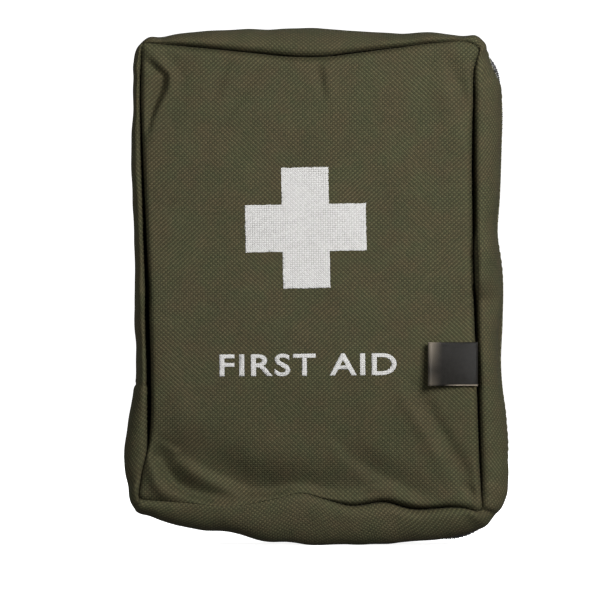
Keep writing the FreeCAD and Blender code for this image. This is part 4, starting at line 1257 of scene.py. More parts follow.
SAME_POINT = 1e-6           # metres
FLAT_ANGLE, EASED_ANGLE, SHARP_ANGLE = (math.radians(degrees) for degrees in (1, 35, 50))


def eased(piece, width, segments, angle):
    """Rounds off a piece's edges that turn by more than an angle. width is in millimetres."""
    ease = piece.modifiers.new("eased edges", "BEVEL")
    ease.width = width * MM
    ease.segments = segments
    ease.limit_method = "ANGLE"
    ease.angle_limit = angle
    return apply_modifiers(piece)


def hard_piece(node, material, slot, bevel=0.22, segments=2):
    """A finer copy of a hard frame node: welded, its edges eased, and shaded smooth between them."""
    source = frame["nodes"][node]
    mesh = source.data.copy()
    mesh.name = node + "_detail"
    work = bmesh.new()
    work.from_mesh(mesh)
    bmesh.ops.remove_doubles(work, verts=work.verts, dist=SAME_POINT)
    bmesh.ops.dissolve_limit(work, angle_limit=FLAT_ANGLE, verts=work.verts, edges=work.edges)
    work.to_mesh(mesh)
    work.free()
    mesh.materials.clear()
    mesh.materials.append(material)
    piece = bpy.data.objects.new(node + "_detail", mesh)
    bpy.context.scene.collection.objects.link(piece)
    eased(piece, bevel, segments, EASED_ANGLE)
    piece.data.polygons.foreach_set("use_smooth", np.full(len(piece.data.polygons), True))
    piece.data.set_sharp_from_angle(angle=SHARP_ANGLE)
    return place(piece, source["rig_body"], slot, [node])


for side in ("left", "right"):
    hard_piece("zip_slider_" + side, black_metal, "black_metal")
    hard_piece("zip_pull_" + side, black_metal, "black_metal", 0.3)
for side in ("front", "rear"):
    hard_piece("zip_stops_" + side, coil_nylon, "zip_coil", 0.3)


# ------------------------------------------------------------------------------ hinge strip
STRIP_TUCK = 3.2            # how far the strip runs under each hem
STRIP_ROWS, STRIP_POINTS = 88, 37


def build_hinge_strip():
    """The cloth hinge on the left, stitched under both hems."""
    low, high = node_box("hinge_strip")
    across = np.linspace(low[1] - STRIP_TUCK, high[1] + STRIP_TUCK, STRIP_POINTS)
    middle = 1 - np.clip(np.abs(across) / high[1], 0, 1) ** 2
    x = low[0] + 2.3 - 1.9 * middle
    x = np.where(np.abs(across) > high[1], x + 0.3 * (np.abs(across) - high[1]), x)
    rows = np.array([np.column_stack([x, across, np.full(STRIP_POINTS, z)])
                     for z in np.linspace(low[2], high[2], STRIP_ROWS)])
    rows[:, :, 0] += 0.35 * ripples(rows, 8, 4.0) * (1 - np.abs(across) / (high[1] + STRIP_TUCK))[None, :]
    uvs = rows[:, :, 1:].reshape(-1, 2)[:, ::-1]
    strip = interior_sheet("hinge_strip_cloth", rows, uvs, canvas, CLOTH_THICK)
    place(strip, None, "shell_fabric", ["hinge_strip"])
    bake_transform(strip)


build_hinge_strip()


# ------------------------------------------------------------------------------ stitching on the shells
HEM_ROW = -4                # the row of a gusset's points that its hem is sewn along
HEM_SPACING = 2.8
STITCH_LIFT = 0.05


def stitch(point, run, out, length=1.9, radius=0.16):
    """One capsule of thread that dips into the cloth at both ends."""
    offsets = np.linspace(-0.5, 0.5, 6)
    lifts = radius * (1.5 * np.cos(offsets * math.pi) ** 0.5 - 0.7)
    return tube_points(point + offsets[:, None] * length * run + lifts[:, None] * out, radius)


def outwards(points):
    """Level directions from the middle of the pouch to each point."""
    return unit((points - CLOTH_CENTRE) * (1, 0, 1))


def hem_stitches(label, rows, body):
    """Stitches round a gusset's hem, standing on its outer face."""
    line = rows[HEM_ROW] + outwards(rows[HEM_ROW]) * STITCH_LIFT
    points, runs = walk(np.vstack([line, line[:1]]), HEM_SPACING)
    parts = [stitch(*values) for values in zip(points, runs, outwards(points))]
    place(many(label + "_hem_stitches", parts, olive_thread), body, "shell_fabric")


hem_stitches("front", front_rows, "cover")
hem_stitches("rear", rear_rows, "root")


# ------------------------------------------------------------------------------ seam bindings
binding_cloth = ribbed_tape("binding_tape_cloth", (0.030, 0.030, 0.019), 0.0009)
webbing_cloth = ribbed_tape("olive_webbing", (0.050, 0.049, 0.028), 0.0013)


BINDING_INSET = 2.6         # how far inside the seam the binding stands
BINDING_THICK = 0.4
# Places across the folded tape: how far to the side of its middle, and how deep behind the panel.
BINDING_FOLD = ((-0.7, 2.2), (-0.75, 4.4), (-0.55, 6.2), (0, 6.8), (0.55, 6.2), (0.75, 4.4), (0.7, 2.2))


def build_binding(node, shape, body):
    """A narrow tape folded over the seam's raw edges, standing inside the shell."""
    ring = offset_ring(joined(shape.sides), -BINDING_INSET)
    away = 1 if shape.face < 0 else -1
    beside = shape.surface(ring[:, 0], ring[:, 1])
    seam_depth = away * np.maximum(away * outer_points(shape.points)[:, 1], away * beside)
    rows = []
    for side_step, depth in BINDING_FOLD:
        moved = offset_ring(ring, side_step)
        rows.append(np.column_stack([moved[:, 0], seam_depth + away * depth, moved[:, 1]]))
    rows = np.array(rows)
    rows += 0.15 * ripples(rows, 5, 6.0)[:, :, None]
    wrapped, uvs = closed_ring(rows, ring_spread(rows), ring_lengths(ring))
    binding = grid_piece(node + "_tape", wrapped, uvs, binding_cloth)
    thicken(binding, BINDING_THICK, CENTRED)
    place(binding, body, "binding_tape", [node])


build_binding("front_seam_binding", front_shape, "cover")
build_binding("rear_seam_binding", rear_shape, "root")


# ------------------------------------------------------------------------------ webbing on the back
RIBBON_COLUMN = 1.2         # width of a ribbon's columns of points
SOFT_EDGE_SHARE = 0.3       # of a ribbon's thickness
ACROSS, UP = (1, 0, 0), (0, 0, 1)


def ribbon(name, path, side, width, thickness, material, ripple_size=0.0, seed=1.0):
    """Flat tape along a path of points, its width laid along side."""
    columns = max(8, int(width / RIBBON_COLUMN))
    across = np.linspace(-0.5, 0.5, columns) * width
    rows = path[:, None] + across[None, :, None] * np.array(side, float)
    if ripple_size:
        rows[:, :, 1] += ripple_size * ripples(rows, 11, seed)
    uvs = np.column_stack([np.repeat(distances_along(path), columns),
                           np.tile(across + width / 2, len(path))])
    piece = grid_piece(name, rows, uvs, material)
    thicken(piece, thickness, CENTRED)
    return eased(piece, thickness * SOFT_EDGE_SHARE, 2, SHARP_ANGLE)


LINE_SPACING, LINE_STITCH, LINE_RADIUS = 2.2, 1.5, 0.15
TACK_SPACING, TACK_RADIUS = 0.55, 0.14


def stitch_line(start, end, out):
    """Stitches on a straight line between two points."""
    start, end = np.array(start, float), np.array(end, float)
    length = np.linalg.norm(end - start)
    count = max(1, int(length / LINE_SPACING))
    run = (end - start) / length
    middles = start + run * length * ((np.arange(count) + 0.5) / count)[:, None]
    return [stitch(middle, run, out, LINE_STITCH, LINE_RADIUS) for middle in middles]


def stitch_walk(path, spacing):
    """Stitches along a curved path, on the side away from the viewer."""
    return [stitch(point, run, BACK, LINE_STITCH, LINE_RADIUS) for point, run in zip(*walk(path, spacing))]


def bar_tack(centre, half_x, half_z, out):
    """Close level stitches, one above another, that lock a piece of webbing."""
    count = int(half_z * 2 / TACK_SPACING)
    heights = centre[2] - half_z + (np.arange(count) + 0.5) * half_z * 2 / count
    return [stitch(np.array([centre[0], centre[1], z]), np.array(ACROSS, float), out, 2 * half_x,
                   TACK_RADIUS)
            for z in heights]


WEB_THICK = 1.2
WEB_LIFT = 0.75             # how far its middle lies off the panel
WEB_POINTS = 90
STRAP_THICK = 1.25
STRAP_POINTS = 70
STRAP_ROOT = 9.0            # a strap has no edge stitches this near its anchor
STRAP_SPACING, STRAP_STITCH = 2.4, 1.6


def build_webbing_row(label):
    """A row of webbing across the back, tacked down at its ends and beside its middle."""
    node = "rear_webbing_" + label
    low, high = node_box(node)
    middle_z, wide = (low[2] + high[2]) / 2, high[2] - low[2]

    def depth(x):
        """Depth of the webbing's middle."""
        return rear_shape.surface(x, middle_z) + WEB_LIFT

    xs = np.linspace(low[0], high[0], WEB_POINTS)
    path = np.column_stack([xs, depth(xs), np.full(WEB_POINTS, middle_z)])
    row = ribbon(node + "_tape", path, UP, wide, WEB_THICK, webbing_cloth, 0.12, 3.0)
    place(row, "root", "webbing", [node])
    parts = []
    for x in (low[0] + 2.2, -7.0, 7.0, high[0] - 2.2):
        parts += bar_tack((x, float(depth(x)) + WEB_THICK / 2 + 0.12, middle_z), 0.9, wide / 2 - 1.4, BACK)
    for z in (low[2] + 1.6, high[2] - 1.6):
        for x0, x1 in ((low[0] + 4, -9), (9, high[0] - 4)):
            steps = np.linspace(x0, x1, 12)
            face = depth(steps) + WEB_THICK / 2 + 0.1
            line = list(zip(steps, face, np.full(12, z)))
            for start, end in zip(line, line[1:]):
                parts += stitch_line(start, end, BACK)
    place(many(node + "_stitches", parts, olive_thread), "root", "webbing")


def strap_path(side):
    """The strap's middle line, from its anchor at the top down to its free end."""
    low, high = node_box("belt_strap_" + side)
    bow = high[1] - low[1] - WEB_THICK
    z = high[2] + (low[2] - high[2]) * np.linspace(0, 1, STRAP_POINTS)
    snap_z = node_centre("snap_cap_" + side)[2]
    reach = np.clip((high[2] - z) / (high[2] - snap_z), 0, 1)
    y = low[1] + WEB_THICK / 2 + 1.0 + (bow - 1.0) * np.sin(np.pi * reach) ** 0.75
    tail = np.clip((snap_z - z) / 12, 0, 1)
    y = y + 0.8 * tail**2
    return np.column_stack([np.full(STRAP_POINTS, (low[0] + high[0]) / 2), y, z])


def build_belt_strap(side):
    """A belt loop's strap, stitched along both edges and across its free end."""
    node, body = "belt_strap_" + side, "strap_" + side
    low, high = node_box(node)
    path = strap_path(side)
    strap = ribbon(node + "_tape", path, ACROSS, high[0] - low[0], STRAP_THICK, webbing_cloth, 0.18, 5.0)
    place(strap, body, "webbing", [node])
    parts = []
    for edge in (low[0] + 1.5, high[0] - 1.5):
        line = path.copy()
        line[:, 0] = edge
        line[:, 1] += 0.75
        line = line[line[:, 2] < high[2] - STRAP_ROOT]
        for point, run in zip(*walk(line, STRAP_SPACING)):
            out = np.cross(run, ACROSS)
            parts.append(stitch(point, run, out * (1 if out[1] > 0 else -1), STRAP_STITCH, LINE_RADIUS))
    y, z = path[-1][1] + 0.75, path[-1][2] + 2.0
    parts += stitch_line((low[0] + 2, y, z), (high[0] - 2, y, z), BACK)
    place(many(node + "_stitches", parts, olive_thread), body, "webbing")


LATHE_SIDES = 40


def lathe(profile, centre):
    """Points and faces of a turned shape. profile holds (radius, height) pairs; the axis runs along Y."""
    angles = np.arange(LATHE_SIDES) * 2 * math.pi / LATHE_SIDES
    rings = [np.column_stack([centre[0] + r * np.cos(angles), np.full(LATHE_SIDES, centre[1] + h),
                              centre[2] + r * np.sin(angles)]) for r, h in profile]
    faces = ring_quads(len(profile), LATHE_SIDES)
    last = (len(profile) - 1) * LATHE_SIDES
    faces.append(tuple(range(LATHE_SIDES))[::-1])
    faces.append(tuple(last + side for side in range(LATHE_SIDES)))
    return np.concatenate(rings), [face[::-1] for face in faces]


# The cap's outline, as shares of its radius and of its height.
SNAP_PROFILE = ((0.92, 0.0), (1, 0.12), (1, 0.35), (0.95, 0.55), (0.82, 0.66), (0.74, 0.62), (0.66, 0.68),
                (0.45, 0.88), (0.2, 0.97), (0.03, 1))


def build_snap(side):
    """A domed cap with a rolled rim and a shallow ring pressed into its face."""
    low, high = node_box("snap_cap_" + side)
    radius = (high[0] - low[0]) / 2
    tall = high[1] - low[1]
    path = strap_path(side)
    centre_z = (low[2] + high[2]) / 2
    seat = float(np.interp(-centre_z, -path[:, 2], path[:, 1])) + 0.62
    profile = [(radius * wide, tall * up) for wide, up in SNAP_PROFILE]
    points, faces = lathe(profile, ((low[0] + high[0]) / 2, seat, centre_z))
    cap = mesh_piece("snap_cap_" + side + "_dome", points, faces, black_metal)
    cap.data.set_sharp_from_angle(angle=math.radians(60))
    place(cap, "strap_" + side, "black_metal", ["snap_cap_" + side])


for label in ("upper", "lower"):
    build_webbing_row(label)
for side in ("left", "right"):
    build_belt_strap(side)
    build_snap(side)
hard_piece("snap_studs", black_metal, "black_metal", 0.15)


TAB_POINTS = 14


def build_anchors():
    """The stitched webbing tab that holds each strap's top end to the back."""
    low, high = node_box("strap_anchors")
    parts = []
    for side in ("left", "right"):
        strap_low, strap_high = node_box("belt_strap_" + side)
        z = np.linspace(high[2], strap_high[2] - 1.0, TAB_POINTS)
        x = (strap_low[0] + strap_high[0]) / 2
        y = rear_shape.surface(x, z) + 0.8
        y = y + 0.9 * np.clip((low[2] + 3 - z) / 3, 0, 1)
        path = np.column_stack([np.full(TAB_POINTS, x), y, z])
        tab = ribbon("strap_anchor_" + side + "_tape", path, ACROSS, strap_high[0] - strap_low[0] + 1.5,
                     WEB_THICK, webbing_cloth)
        place(tab, "root", "webbing", ["strap_anchors"] if side == "left" else [])
        face = float(y.min()) + WEB_THICK / 2 + 0.12
        left, right = strap_low[0] + 1.6, strap_high[0] - 1.6
        bottom, top = low[2] + 2.2, high[2] - 1.6
        y = face + 0.1
        boxed_cross = [(left, y, bottom), (right, y, bottom), (right, y, top), (left, y, top),
                       (left, y, bottom),
                       (right, y, top)]
        for start, end in zip(boxed_cross, boxed_cross[1:]):
            parts += stitch_line(start, end, BACK)
        parts += stitch_line((left, y, top), (right, y, bottom), BACK)
    place(many("strap_anchor_stitches", parts, olive_thread), "root", "webbing")


build_anchors()


# ------------------------------------------------------------------------------ inside materials
def paper_material(name, colour, crinkle=0.00012, roughness=0.6, gloss=0.0, tint=0.05):
    """Paper or plastic film with soft crumples and a little unevenness."""
    g = Graph(name)
    fold, _ = g.noise(g.position(), 160.0, 4.0, 0.6)
    fibre, _ = g.noise(g.position(), 1800.0, 2.0)
    sharp = g.math("ABSOLUTE", g.math("SUBTRACT", fold, 0.5))
    # painted shade along the crumples' creases, with a small real tone change in the fibres
    tone = g.math("MULTIPLY", g.ramp(sharp, 0.0, 0.12, 1 - tint, 1.0),
                  g.ramp(fibre, 0.3, 0.7, 1 - tint / 2, 1 + tint / 2))
    base = g.tinted(colour, tone)
    g.bump(g.math("MULTIPLY_ADD", fibre, 0.15, sharp), crinkle * 3)
    return g.surface(base, roughness=roughness, coat=gloss, specular=0.4)


def foil_material(name, colour):
    """Bright foil with sharp crumples."""
    g = Graph(name)
    fold, _ = g.noise(g.position(), 240.0, 5.0, 0.65)
    sharp = g.math("ABSOLUTE", g.math("SUBTRACT", fold, 0.5))
    # painted shade: darker along the crumples' creases
    tone = g.ramp(sharp, 0.0, 0.15, 0.85, 1.05)
    base = g.tinted(colour, tone)
    g.bump(sharp, 0.0006)
    return g.surface(base, roughness=g.ramp(fold, 0.3, 0.7, 0.22, 0.38), metallic=0.85)


def elastic_material(name, colour):
    """Ribbed elastic tape: ridges along its length, read from the height in the model."""
    g = Graph(name)
    x, y, z = g.split(g.position())
    rib = g.math("SINE", g.math("MULTIPLY", z, 2 * math.pi / 0.0013))
    cross = g.math("SINE", g.math("MULTIPLY", g.math("ADD", x, y), 2 * math.pi / 0.0008))
    height = g.math("MULTIPLY_ADD", cross, 0.3, rib)
    # painted shade: darker in the hollows between the ribs and lighter on their crests
    tone = g.ramp(height, -1.3, 1.3, 0.7, 1.25)
    base = g.tinted(colour, tone)
    g.bump(height, 0.00012)
    return g.surface(base, roughness=0.7, specular=0.3)


def moulded_plastic(name, colour):
    """Smooth plastic with a faint grain and uneven tone."""
    g = Graph(name)
    grain, _ = g.noise(g.position(), 1400.0, 3.0)
    stain, _ = g.noise(g.position(), 70.0, 3.0)
    tone = g.ramp(stain, 0.3, 0.7, 0.96, 1.03)
    base = g.tinted(colour, tone)
    g.bump(grain, 0.00002)
    return g.surface(base, roughness=g.ramp(grain, 0.3, 0.7, 0.32, 0.45), specular=0.5)


lining_cloth = woven("lining_nylon", (0.040, 0.040, 0.023), 0.00045, painted_weave_shade=0.3, roughness=0.6,
                     sheen=0.05)
crepe_cloth = woven("crepe_cotton", (0.42, 0.35, 0.265), 0.0007, painted_weave_shade=0.35, height=0.0002, stretch=2.2)
gauze_cloth = woven("gauze_cotton", (0.47, 0.465, 0.44), 0.0008, painted_weave_shade=0.3, height=0.0002)
cotton_cloth = woven("calico_cotton", (0.43, 0.415, 0.375), 0.0005, painted_weave_shade=0.25)
strapping_cloth = woven("zinc_oxide_tape", (0.40, 0.28, 0.205), 0.0005, painted_weave_shade=0.25)
net_thread = thread_material("net_thread", (0.035, 0.035, 0.024), 0.5)
elastic_tape = elastic_material("olive_elastic", (0.033, 0.033, 0.022))
wrap_paper = paper_material("waxed_wrap", (0.105, 0.115, 0.070), 0.0002, 0.5, 0.1, 0.15)
sachet_paper = paper_material("sachet_paper", (0.47, 0.47, 0.46))
leaflet_paper = paper_material("leaflet_paper", (0.45, 0.445, 0.415), 0.00005, 0.75)
clear_film = paper_material("clear_film", (0.30, 0.35, 0.40), 0.0003, 0.2, 0.6, 0.12)
silver_foil = foil_material("silver_foil", (0.34, 0.345, 0.35))
gold_foil = foil_material("gold_foil", (0.40, 0.29, 0.11))
white_plastic = moulded_plastic("white_plastic", (0.46, 0.46, 0.45))


# ------------------------------------------------------------------------------ inside builders
PANEL_CLEAR = 1.9           # the cover's contents stay this far behind its face
SEAM_CLEAR = 3.2            # the contents stay this far above the panel's lower seam
SQUEEZE_REACH = 25.0        # the stretch over which they are squeezed up to do so


def cover_floor(x):
    """Height of the cover's lower seam, with the room its binding needs."""
    seam = front_shape.sides[0]
    return np.interp(x, seam[:, 0], seam[:, 1]) + SEAM_CLEAR


def behind_front(points):
    """Keeps points of the cover's contents inside the folded front panel and above its lower seam."""
    lowest = points[..., 2].min()
    short = np.clip(cover_floor(points[..., 0]) - lowest, 0, None)
    points[..., 2] += short * np.clip(1 - (points[..., 2] - lowest) / SQUEEZE_REACH, 0, 1)
    limit = front_shape.surface(points[..., 0], points[..., 2]) + PANEL_CLEAR
    points[..., 1] = np.maximum(points[..., 1], limit)
    return points


def solid_boxes(node):
    """The box of each separate solid of a node, in millimetres, from the left to the right."""
    work = bmesh.new()
    work.from_mesh(frame["nodes"][node].data)
    bmesh.ops.remove_doubles(work, verts=work.verts, dist=SAME_POINT)
    left, boxes = set(work.verts), []
    while left:
        stack, island = [left.pop()], []
        while stack:
            vertex = stack.pop()
            island.append(vertex.co[:])
            for edge in vertex.link_edges:
                other = edge.other_vert(vertex)
                if other in left:
                    left.remove(other)
                    stack.append(other)
        corners = np.array(island) / MM
        boxes.append((corners.min(axis=0), corners.max(axis=0)))
    work.free()
    return sorted(boxes, key=lambda box: (round(box[0][0]), round(box[0][2]), round(box[0][1])))


FEWEST_POINTS = 18          # along each side of a packet; a longer side has one every millimetre
FILM_HALF = 0.2             # half the thickness of a packet's pressed edge
CRIMP_PITCH, CRIMP_HEIGHT = 1.3, 0.09    # the slanted ridges pressed into that edge


def pillow(name, low, high, material, crimp, round_by, wrinkle, seed, inside_cover):
    """A soft packet: two puffed faces that meet in a thin pressed edge.

    crimp is the width of that edge, round_by the width of the curve beside it.
    """
    xs, zs = (np.linspace(low[axis], high[axis], max(FEWEST_POINTS, int(high[axis] - low[axis])))
              for axis in (0, 2))
    x, z = np.meshgrid(xs, zs, indexing="ij")
    gap = np.minimum.reduce([x - low[0], high[0] - x, z - low[2], high[2] - z])
    rise = np.clip((gap - crimp) / round_by, 0, 1)
    full = np.sqrt(1 - (1 - rise) ** 2)
    middle, half = (low[1] + high[1]) / 2, (high[1] - low[1]) / 2
    points = np.stack([x, np.full(x.shape, middle), z], axis=-1)
    uneven = wrinkle * full * (ripples(points, 10, seed) + 0.4 * ripples(points, 3.5, seed + 3))
    pressed = CRIMP_HEIGHT * (1 - full) * np.sin(2 * math.pi * (x + z) / CRIMP_PITCH)
    thick = FILM_HALF + np.maximum(half - FILM_HALF - 0.7 * wrinkle, 0.05) * full
    front = points + np.stack([0 * x, -thick - uneven + pressed, 0 * x], axis=-1)
    back = points + np.stack([0 * x, thick + uneven + pressed, 0 * x], axis=-1)
    if inside_cover:
        front, back = behind_front(front), behind_front(back)
        back[..., 1] = np.maximum(back[..., 1], front[..., 1] + 0.25)
    return closed_pair(name, front, back, material)


def closed_pair(name, front, back, material):
    """Two facing grids joined along their edges into one closed skin."""
    rows, columns = front.shape[:2]
    count = rows * columns
    faces = grid_faces(rows, columns)
    faces = faces + [tuple(index + count for index in face)[::-1] for face in faces]
    rim = outer_points(np.arange(count).reshape(rows, columns)).tolist()
    faces += [(b, a, a + count, b + count) for a, b in zip(rim, rim[1:] + rim[:1])]
    points = np.concatenate([front.reshape(-1, 3), back.reshape(-1, 3)])
    piece = mesh_piece(name, points, faces, material, seen_from_front(points))
    return face_away(piece, points.mean(axis=0))


ROLL_CORE = 3.2             # radius of the hollow in a bandage's middle
ROLL_STEPS = 40             # points in each turn
ROLL_LEVELS = (0, 0.03, 0.12, 0.5, 0.88, 0.97, 1)    # shares of its height


def bandage_roll(node, material, slot, spacing, seed):
    """A sheet wound round itself from a small core, with its free edge at the front."""
    low, high = node_box(node)
    centre = (low + high) / 2
    outer, core = (high[0] - low[0]) / 2 - 0.3, ROLL_CORE
    turns = (outer - core) / spacing
    t = np.linspace(0, 1, int(turns * ROLL_STEPS))
    angle = 2 * math.pi * turns * t + 1.2 + seed
    radius = outer - (outer - core) * t
    radius = radius + 0.22 * spacing * np.sin(3 * angle + 7 * t)
    telescope = 0.45 * np.array([ripple(4 * s, 0, seed, 0.35, seed) for s in t])
    x, y = centre[0] + radius * np.cos(angle), centre[1] + radius * np.sin(angle)
    rows = []
    for share in ROLL_LEVELS:
        z = low[2] + 0.4 + (high[2] - low[2] - 0.8) * share + telescope * (0.6 if share in (0, 1) else 0.3)
        rows.append(np.column_stack([x, y, z]))
    rows = np.array(rows)
    along = distances_along(np.column_stack([x, y]))
    uvs = np.column_stack([np.tile(along, len(ROLL_LEVELS)), rows[:, :, 2].ravel()])
    roll = grid_piece(node + "_winding", rows, uvs, material)
    thicken(roll, spacing * 0.8, CENTRED)
    place(roll, "root", slot, [node])


bandage_roll("crepe_bandage_large", crepe_cloth, "crepe", 1.7, 0.0)
bandage_roll("crepe_bandage_small", crepe_cloth, "crepe", 1.7, 1.0)
bandage_roll("gauze_roll_large", gauze_cloth, "gauze", 1.3, 2.0)
bandage_roll("gauze_roll_small", gauze_cloth, "gauze", 1.3, 3.0)
hard_piece("tape_spool", white_plastic, "white_plastic", 0.3)


def add_cloth_map(piece, cloth_from):
    """Cloth coordinates for a finished piece, worked out from each point's place in millimetres."""
    mesh = piece.data
    layer = mesh.uv_layers.new(name="cloth")
    points = np.zeros(len(mesh.vertices) * 3)
    mesh.vertices.foreach_get("co", points)
    corners = np.zeros(len(mesh.loops), np.int32)
    mesh.loops.foreach_get("vertex_index", corners)
    uvs = cloth_from(points.reshape(-1, 3) / MM)[corners] * MM
    layer.data.foreach_set("uv", uvs.astype(np.float32).ravel())
    return piece


def round_axis(node):
    """Cloth coordinates for a piece wound about an upright axis: distance round it, and height."""
    centre = node_centre(node)
    radius = (node_box(node)[1][0] - node_box(node)[0][0]) / 2

    def cloth_from(points):
        angle = np.arctan2(points[:, 1] - centre[1], points[:, 0] - centre[0])
        return np.column_stack([angle * radius, points[:, 2]])
    return cloth_from


add_cloth_map(hard_piece("adhesive_tape", strapping_cloth, "cloth_tape", 0.3), round_axis("adhesive_tape"))


# ------------------------------------------------------------------------------ rear inside
BOARD_GROOVES = {side: (LEVEL[side], 1.0) for side in SIDES}
BOARD_THICK = 0.8
BOARD_RADII = (11, 11, 11, 11)
BEHIND_BOARD = (0, 200, 95)     # a point that the board turns its back on
EDGE_RADIUS = 0.95          # of the binding round the board's edge


def build_organizer():
    """The flat panel that carries the rear contents, with a bound edge."""
    low, high = node_box("organizer_panel")
    shape = PanelShape(*rect(low, high), LEVEL, BOARD_RADII, (low[1] + high[1]) / 2 - 0.1, 0.0,
                       BOARD_GROOVES, False, 7.0)
    board = interior_sheet("organizer_panel_cloth", shape.points, seen_from_front(shape.points),
                           lining_cloth, BOARD_THICK, BEHIND_BOARD)
    place(board, "root", "lining_fabric", ["organizer_panel"])
    edge = joined(shape.sides)
    ring = np.column_stack([edge[:, 0], np.full(len(edge), low[1] + 0.4), edge[:, 1]])
    ring = np.vstack([ring, ring[:1]])
    binding = many("organizer_edge_binding", [tube_points(ring, EDGE_RADIUS, 8)], binding_cloth)
    add_cloth_map(binding, seen_from_front)
    place(binding, "root", "binding_tape")


ELASTIC_THICK = 0.9
ELASTIC_CLEAR = 0.75        # its middle stays this far off the rolls
ELASTIC_FOOT = 0.35         # it leaves the board this far beside a roll
ELASTIC_STEP = 0.9          # spacing of points along it


def elastic_loops(label, rolls, seed):
    """One elastic tape stitched to the board between rolls and stretched over each of them."""
    tape_node = "roll_elastic_" + label
    low, high = node_box(tape_node)
    board = node_box("organizer_panel")[0][1] - 0.5
    path = [(low[0] + 0.3, board)]
    tacks = [low[0] + 1.2]
    for node in rolls:
        roll_low, roll_high = node_box(node)
        centre = (roll_low + roll_high) / 2
        radius = (roll_high[0] - roll_low[0]) / 2 + ELASTIC_CLEAR
        path.append((centre[0] - radius - ELASTIC_FOOT, board))
        for angle in np.linspace(math.pi, 2 * math.pi, 40):
            path.append((centre[0] + radius * math.cos(angle), centre[1] + radius * math.sin(angle)))
        path.append((centre[0] + radius + ELASTIC_FOOT, board))
        tacks.append(centre[0] + radius + 1.6)
    path.append((high[0] - 0.3, board))
    z = (low[2] + high[2]) / 2
    dense = walk(np.array([(x, y, z) for x, y in path]), ELASTIC_STEP)[0]
    tape = ribbon(tape_node + "_tape", dense, UP, high[2] - low[2], ELASTIC_THICK, elastic_tape, 0.1, seed)
    place(tape, "root", "elastic", [tape_node])
    parts = []
    for x in tacks:
        if x < high[0]:
            parts += bar_tack((x, board - 0.6, z), 0.8, (high[2] - low[2]) / 2 - 1.0, -BACK)
    place(many(tape_node + "_stitches", parts, olive_thread), "root", "elastic")


build_organizer()
elastic_loops("lower", ("crepe_bandage_large", "gauze_roll_large", "tape_spool"), 2.0)
elastic_loops("upper", ("crepe_bandage_small",), 4.0)


def soft_pack(node, material, slot, crimp, round_by, wrinkle, seed):
    """A padded packet on the organiser panel."""
    pack = pillow(node + "_wrap", *node_box(node), material, crimp, round_by, wrinkle, seed, False)
    place(pack, "root", slot, [node])


soft_pack("field_dressing", wrap_paper, "dressing_wrap", 2.5, 9.0, 1.1, 1.0)
soft_pack("triangular_bandage", cotton_cloth, "folded_cotton", 0.0, 4.0, 0.6, 2.0)


# ------------------------------------------------------------------------------ cover inside
def packets(node, material, slot, crimp, round_by, wrinkle, seed):
    """One packet for each solid of a node; the first stands for the whole node."""
    for index, (low, high) in enumerate(solid_boxes(node)):
        packet = pillow(f"{node}_{index + 1}", low + 0.1, high - 0.1, material, crimp, round_by, wrinkle,
                        seed + index, True)
        place(packet, "cover", slot, [node] if index == 0 else [])


packets("compress_packs", sachet_paper, "paper_pack", 3.0, 3.0, 0.35, 3.0)
packets("plaster_strips", sachet_paper, "paper_pack", 2.0, 1.5, 0.12, 9.0)
packets("glove_pack", clear_film, "clear_pack", 2.5, 4.0, 0.5, 5.0)
packets("rescue_blanket_pack", gold_foil, "foil", 2.5, 4.0, 0.5, 6.0)
packets("alcohol_wipes", silver_foil, "foil", 2.5, 2.0, 0.15, 7.0)

LEAF_POINTS = 90            # along each side of a leaf
LEAF_THICK = 0.22


def build_leaflet():
    """A folded leaflet: two leaves that open slightly at the top."""
    low, high = node_box("instruction_leaflet")
    for index, gape in enumerate((0.0, 0.5)):
        xs, zs = (np.linspace(low[axis], high[axis] - index, LEAF_POINTS) for axis in (0, 2))
        x, z = np.meshgrid(xs, zs, indexing="ij")
        t = (z - low[2]) / (high[2] - low[2])
        y = low[1] + 0.5 + 0.6 * index + gape * t**2 + 0.15 * np.sin(x / 14)
        rows = behind_front(np.stack([x, y, z], axis=-1))
        rows[..., 1] += 0.35 * index
        leaf = grid_piece(f"instruction_leaflet_{index + 1}", rows, seen_from_front(rows), leaflet_paper)
        thicken(leaf, LEAF_THICK, CENTRED)
        place(leaf, "cover", "leaflet_paper", ["instruction_leaflet"] if index == 0 else [])


build_leaflet()

NET_PITCH = 2.5
NET_THREAD = 0.24           # radius
NET_ROUND = 7.0             # how far in from its sides the net reaches its full depth
NET_CLEAR = 1.3             # the net stays this far behind the cover's face
TOP_TAPE_THICK = 1.3
TAPE_POINTS = 100           # along the pocket's top tape
SIDE_POINTS = 60            # along its side tapes
SIDE_TAPE_WIDE, SIDE_TAPE_THICK = 3.2, 0.6
POCKET_STITCH_SPACING = 2.3


def pocket_depth(x, z, low, high):
    """The pocket's face: full depth in the middle, drawn back to the cover at its sides and floor."""
    gap = np.minimum.reduce([x - low[0], high[0] - x, z - low[2]])
    full = np.sqrt(1 - (1 - np.clip(gap / NET_ROUND, 0, 1)) ** 2)
    base = front_shape.surface(x, z) + NET_CLEAR
    return base + (high[1] - 0.4 - base) * full


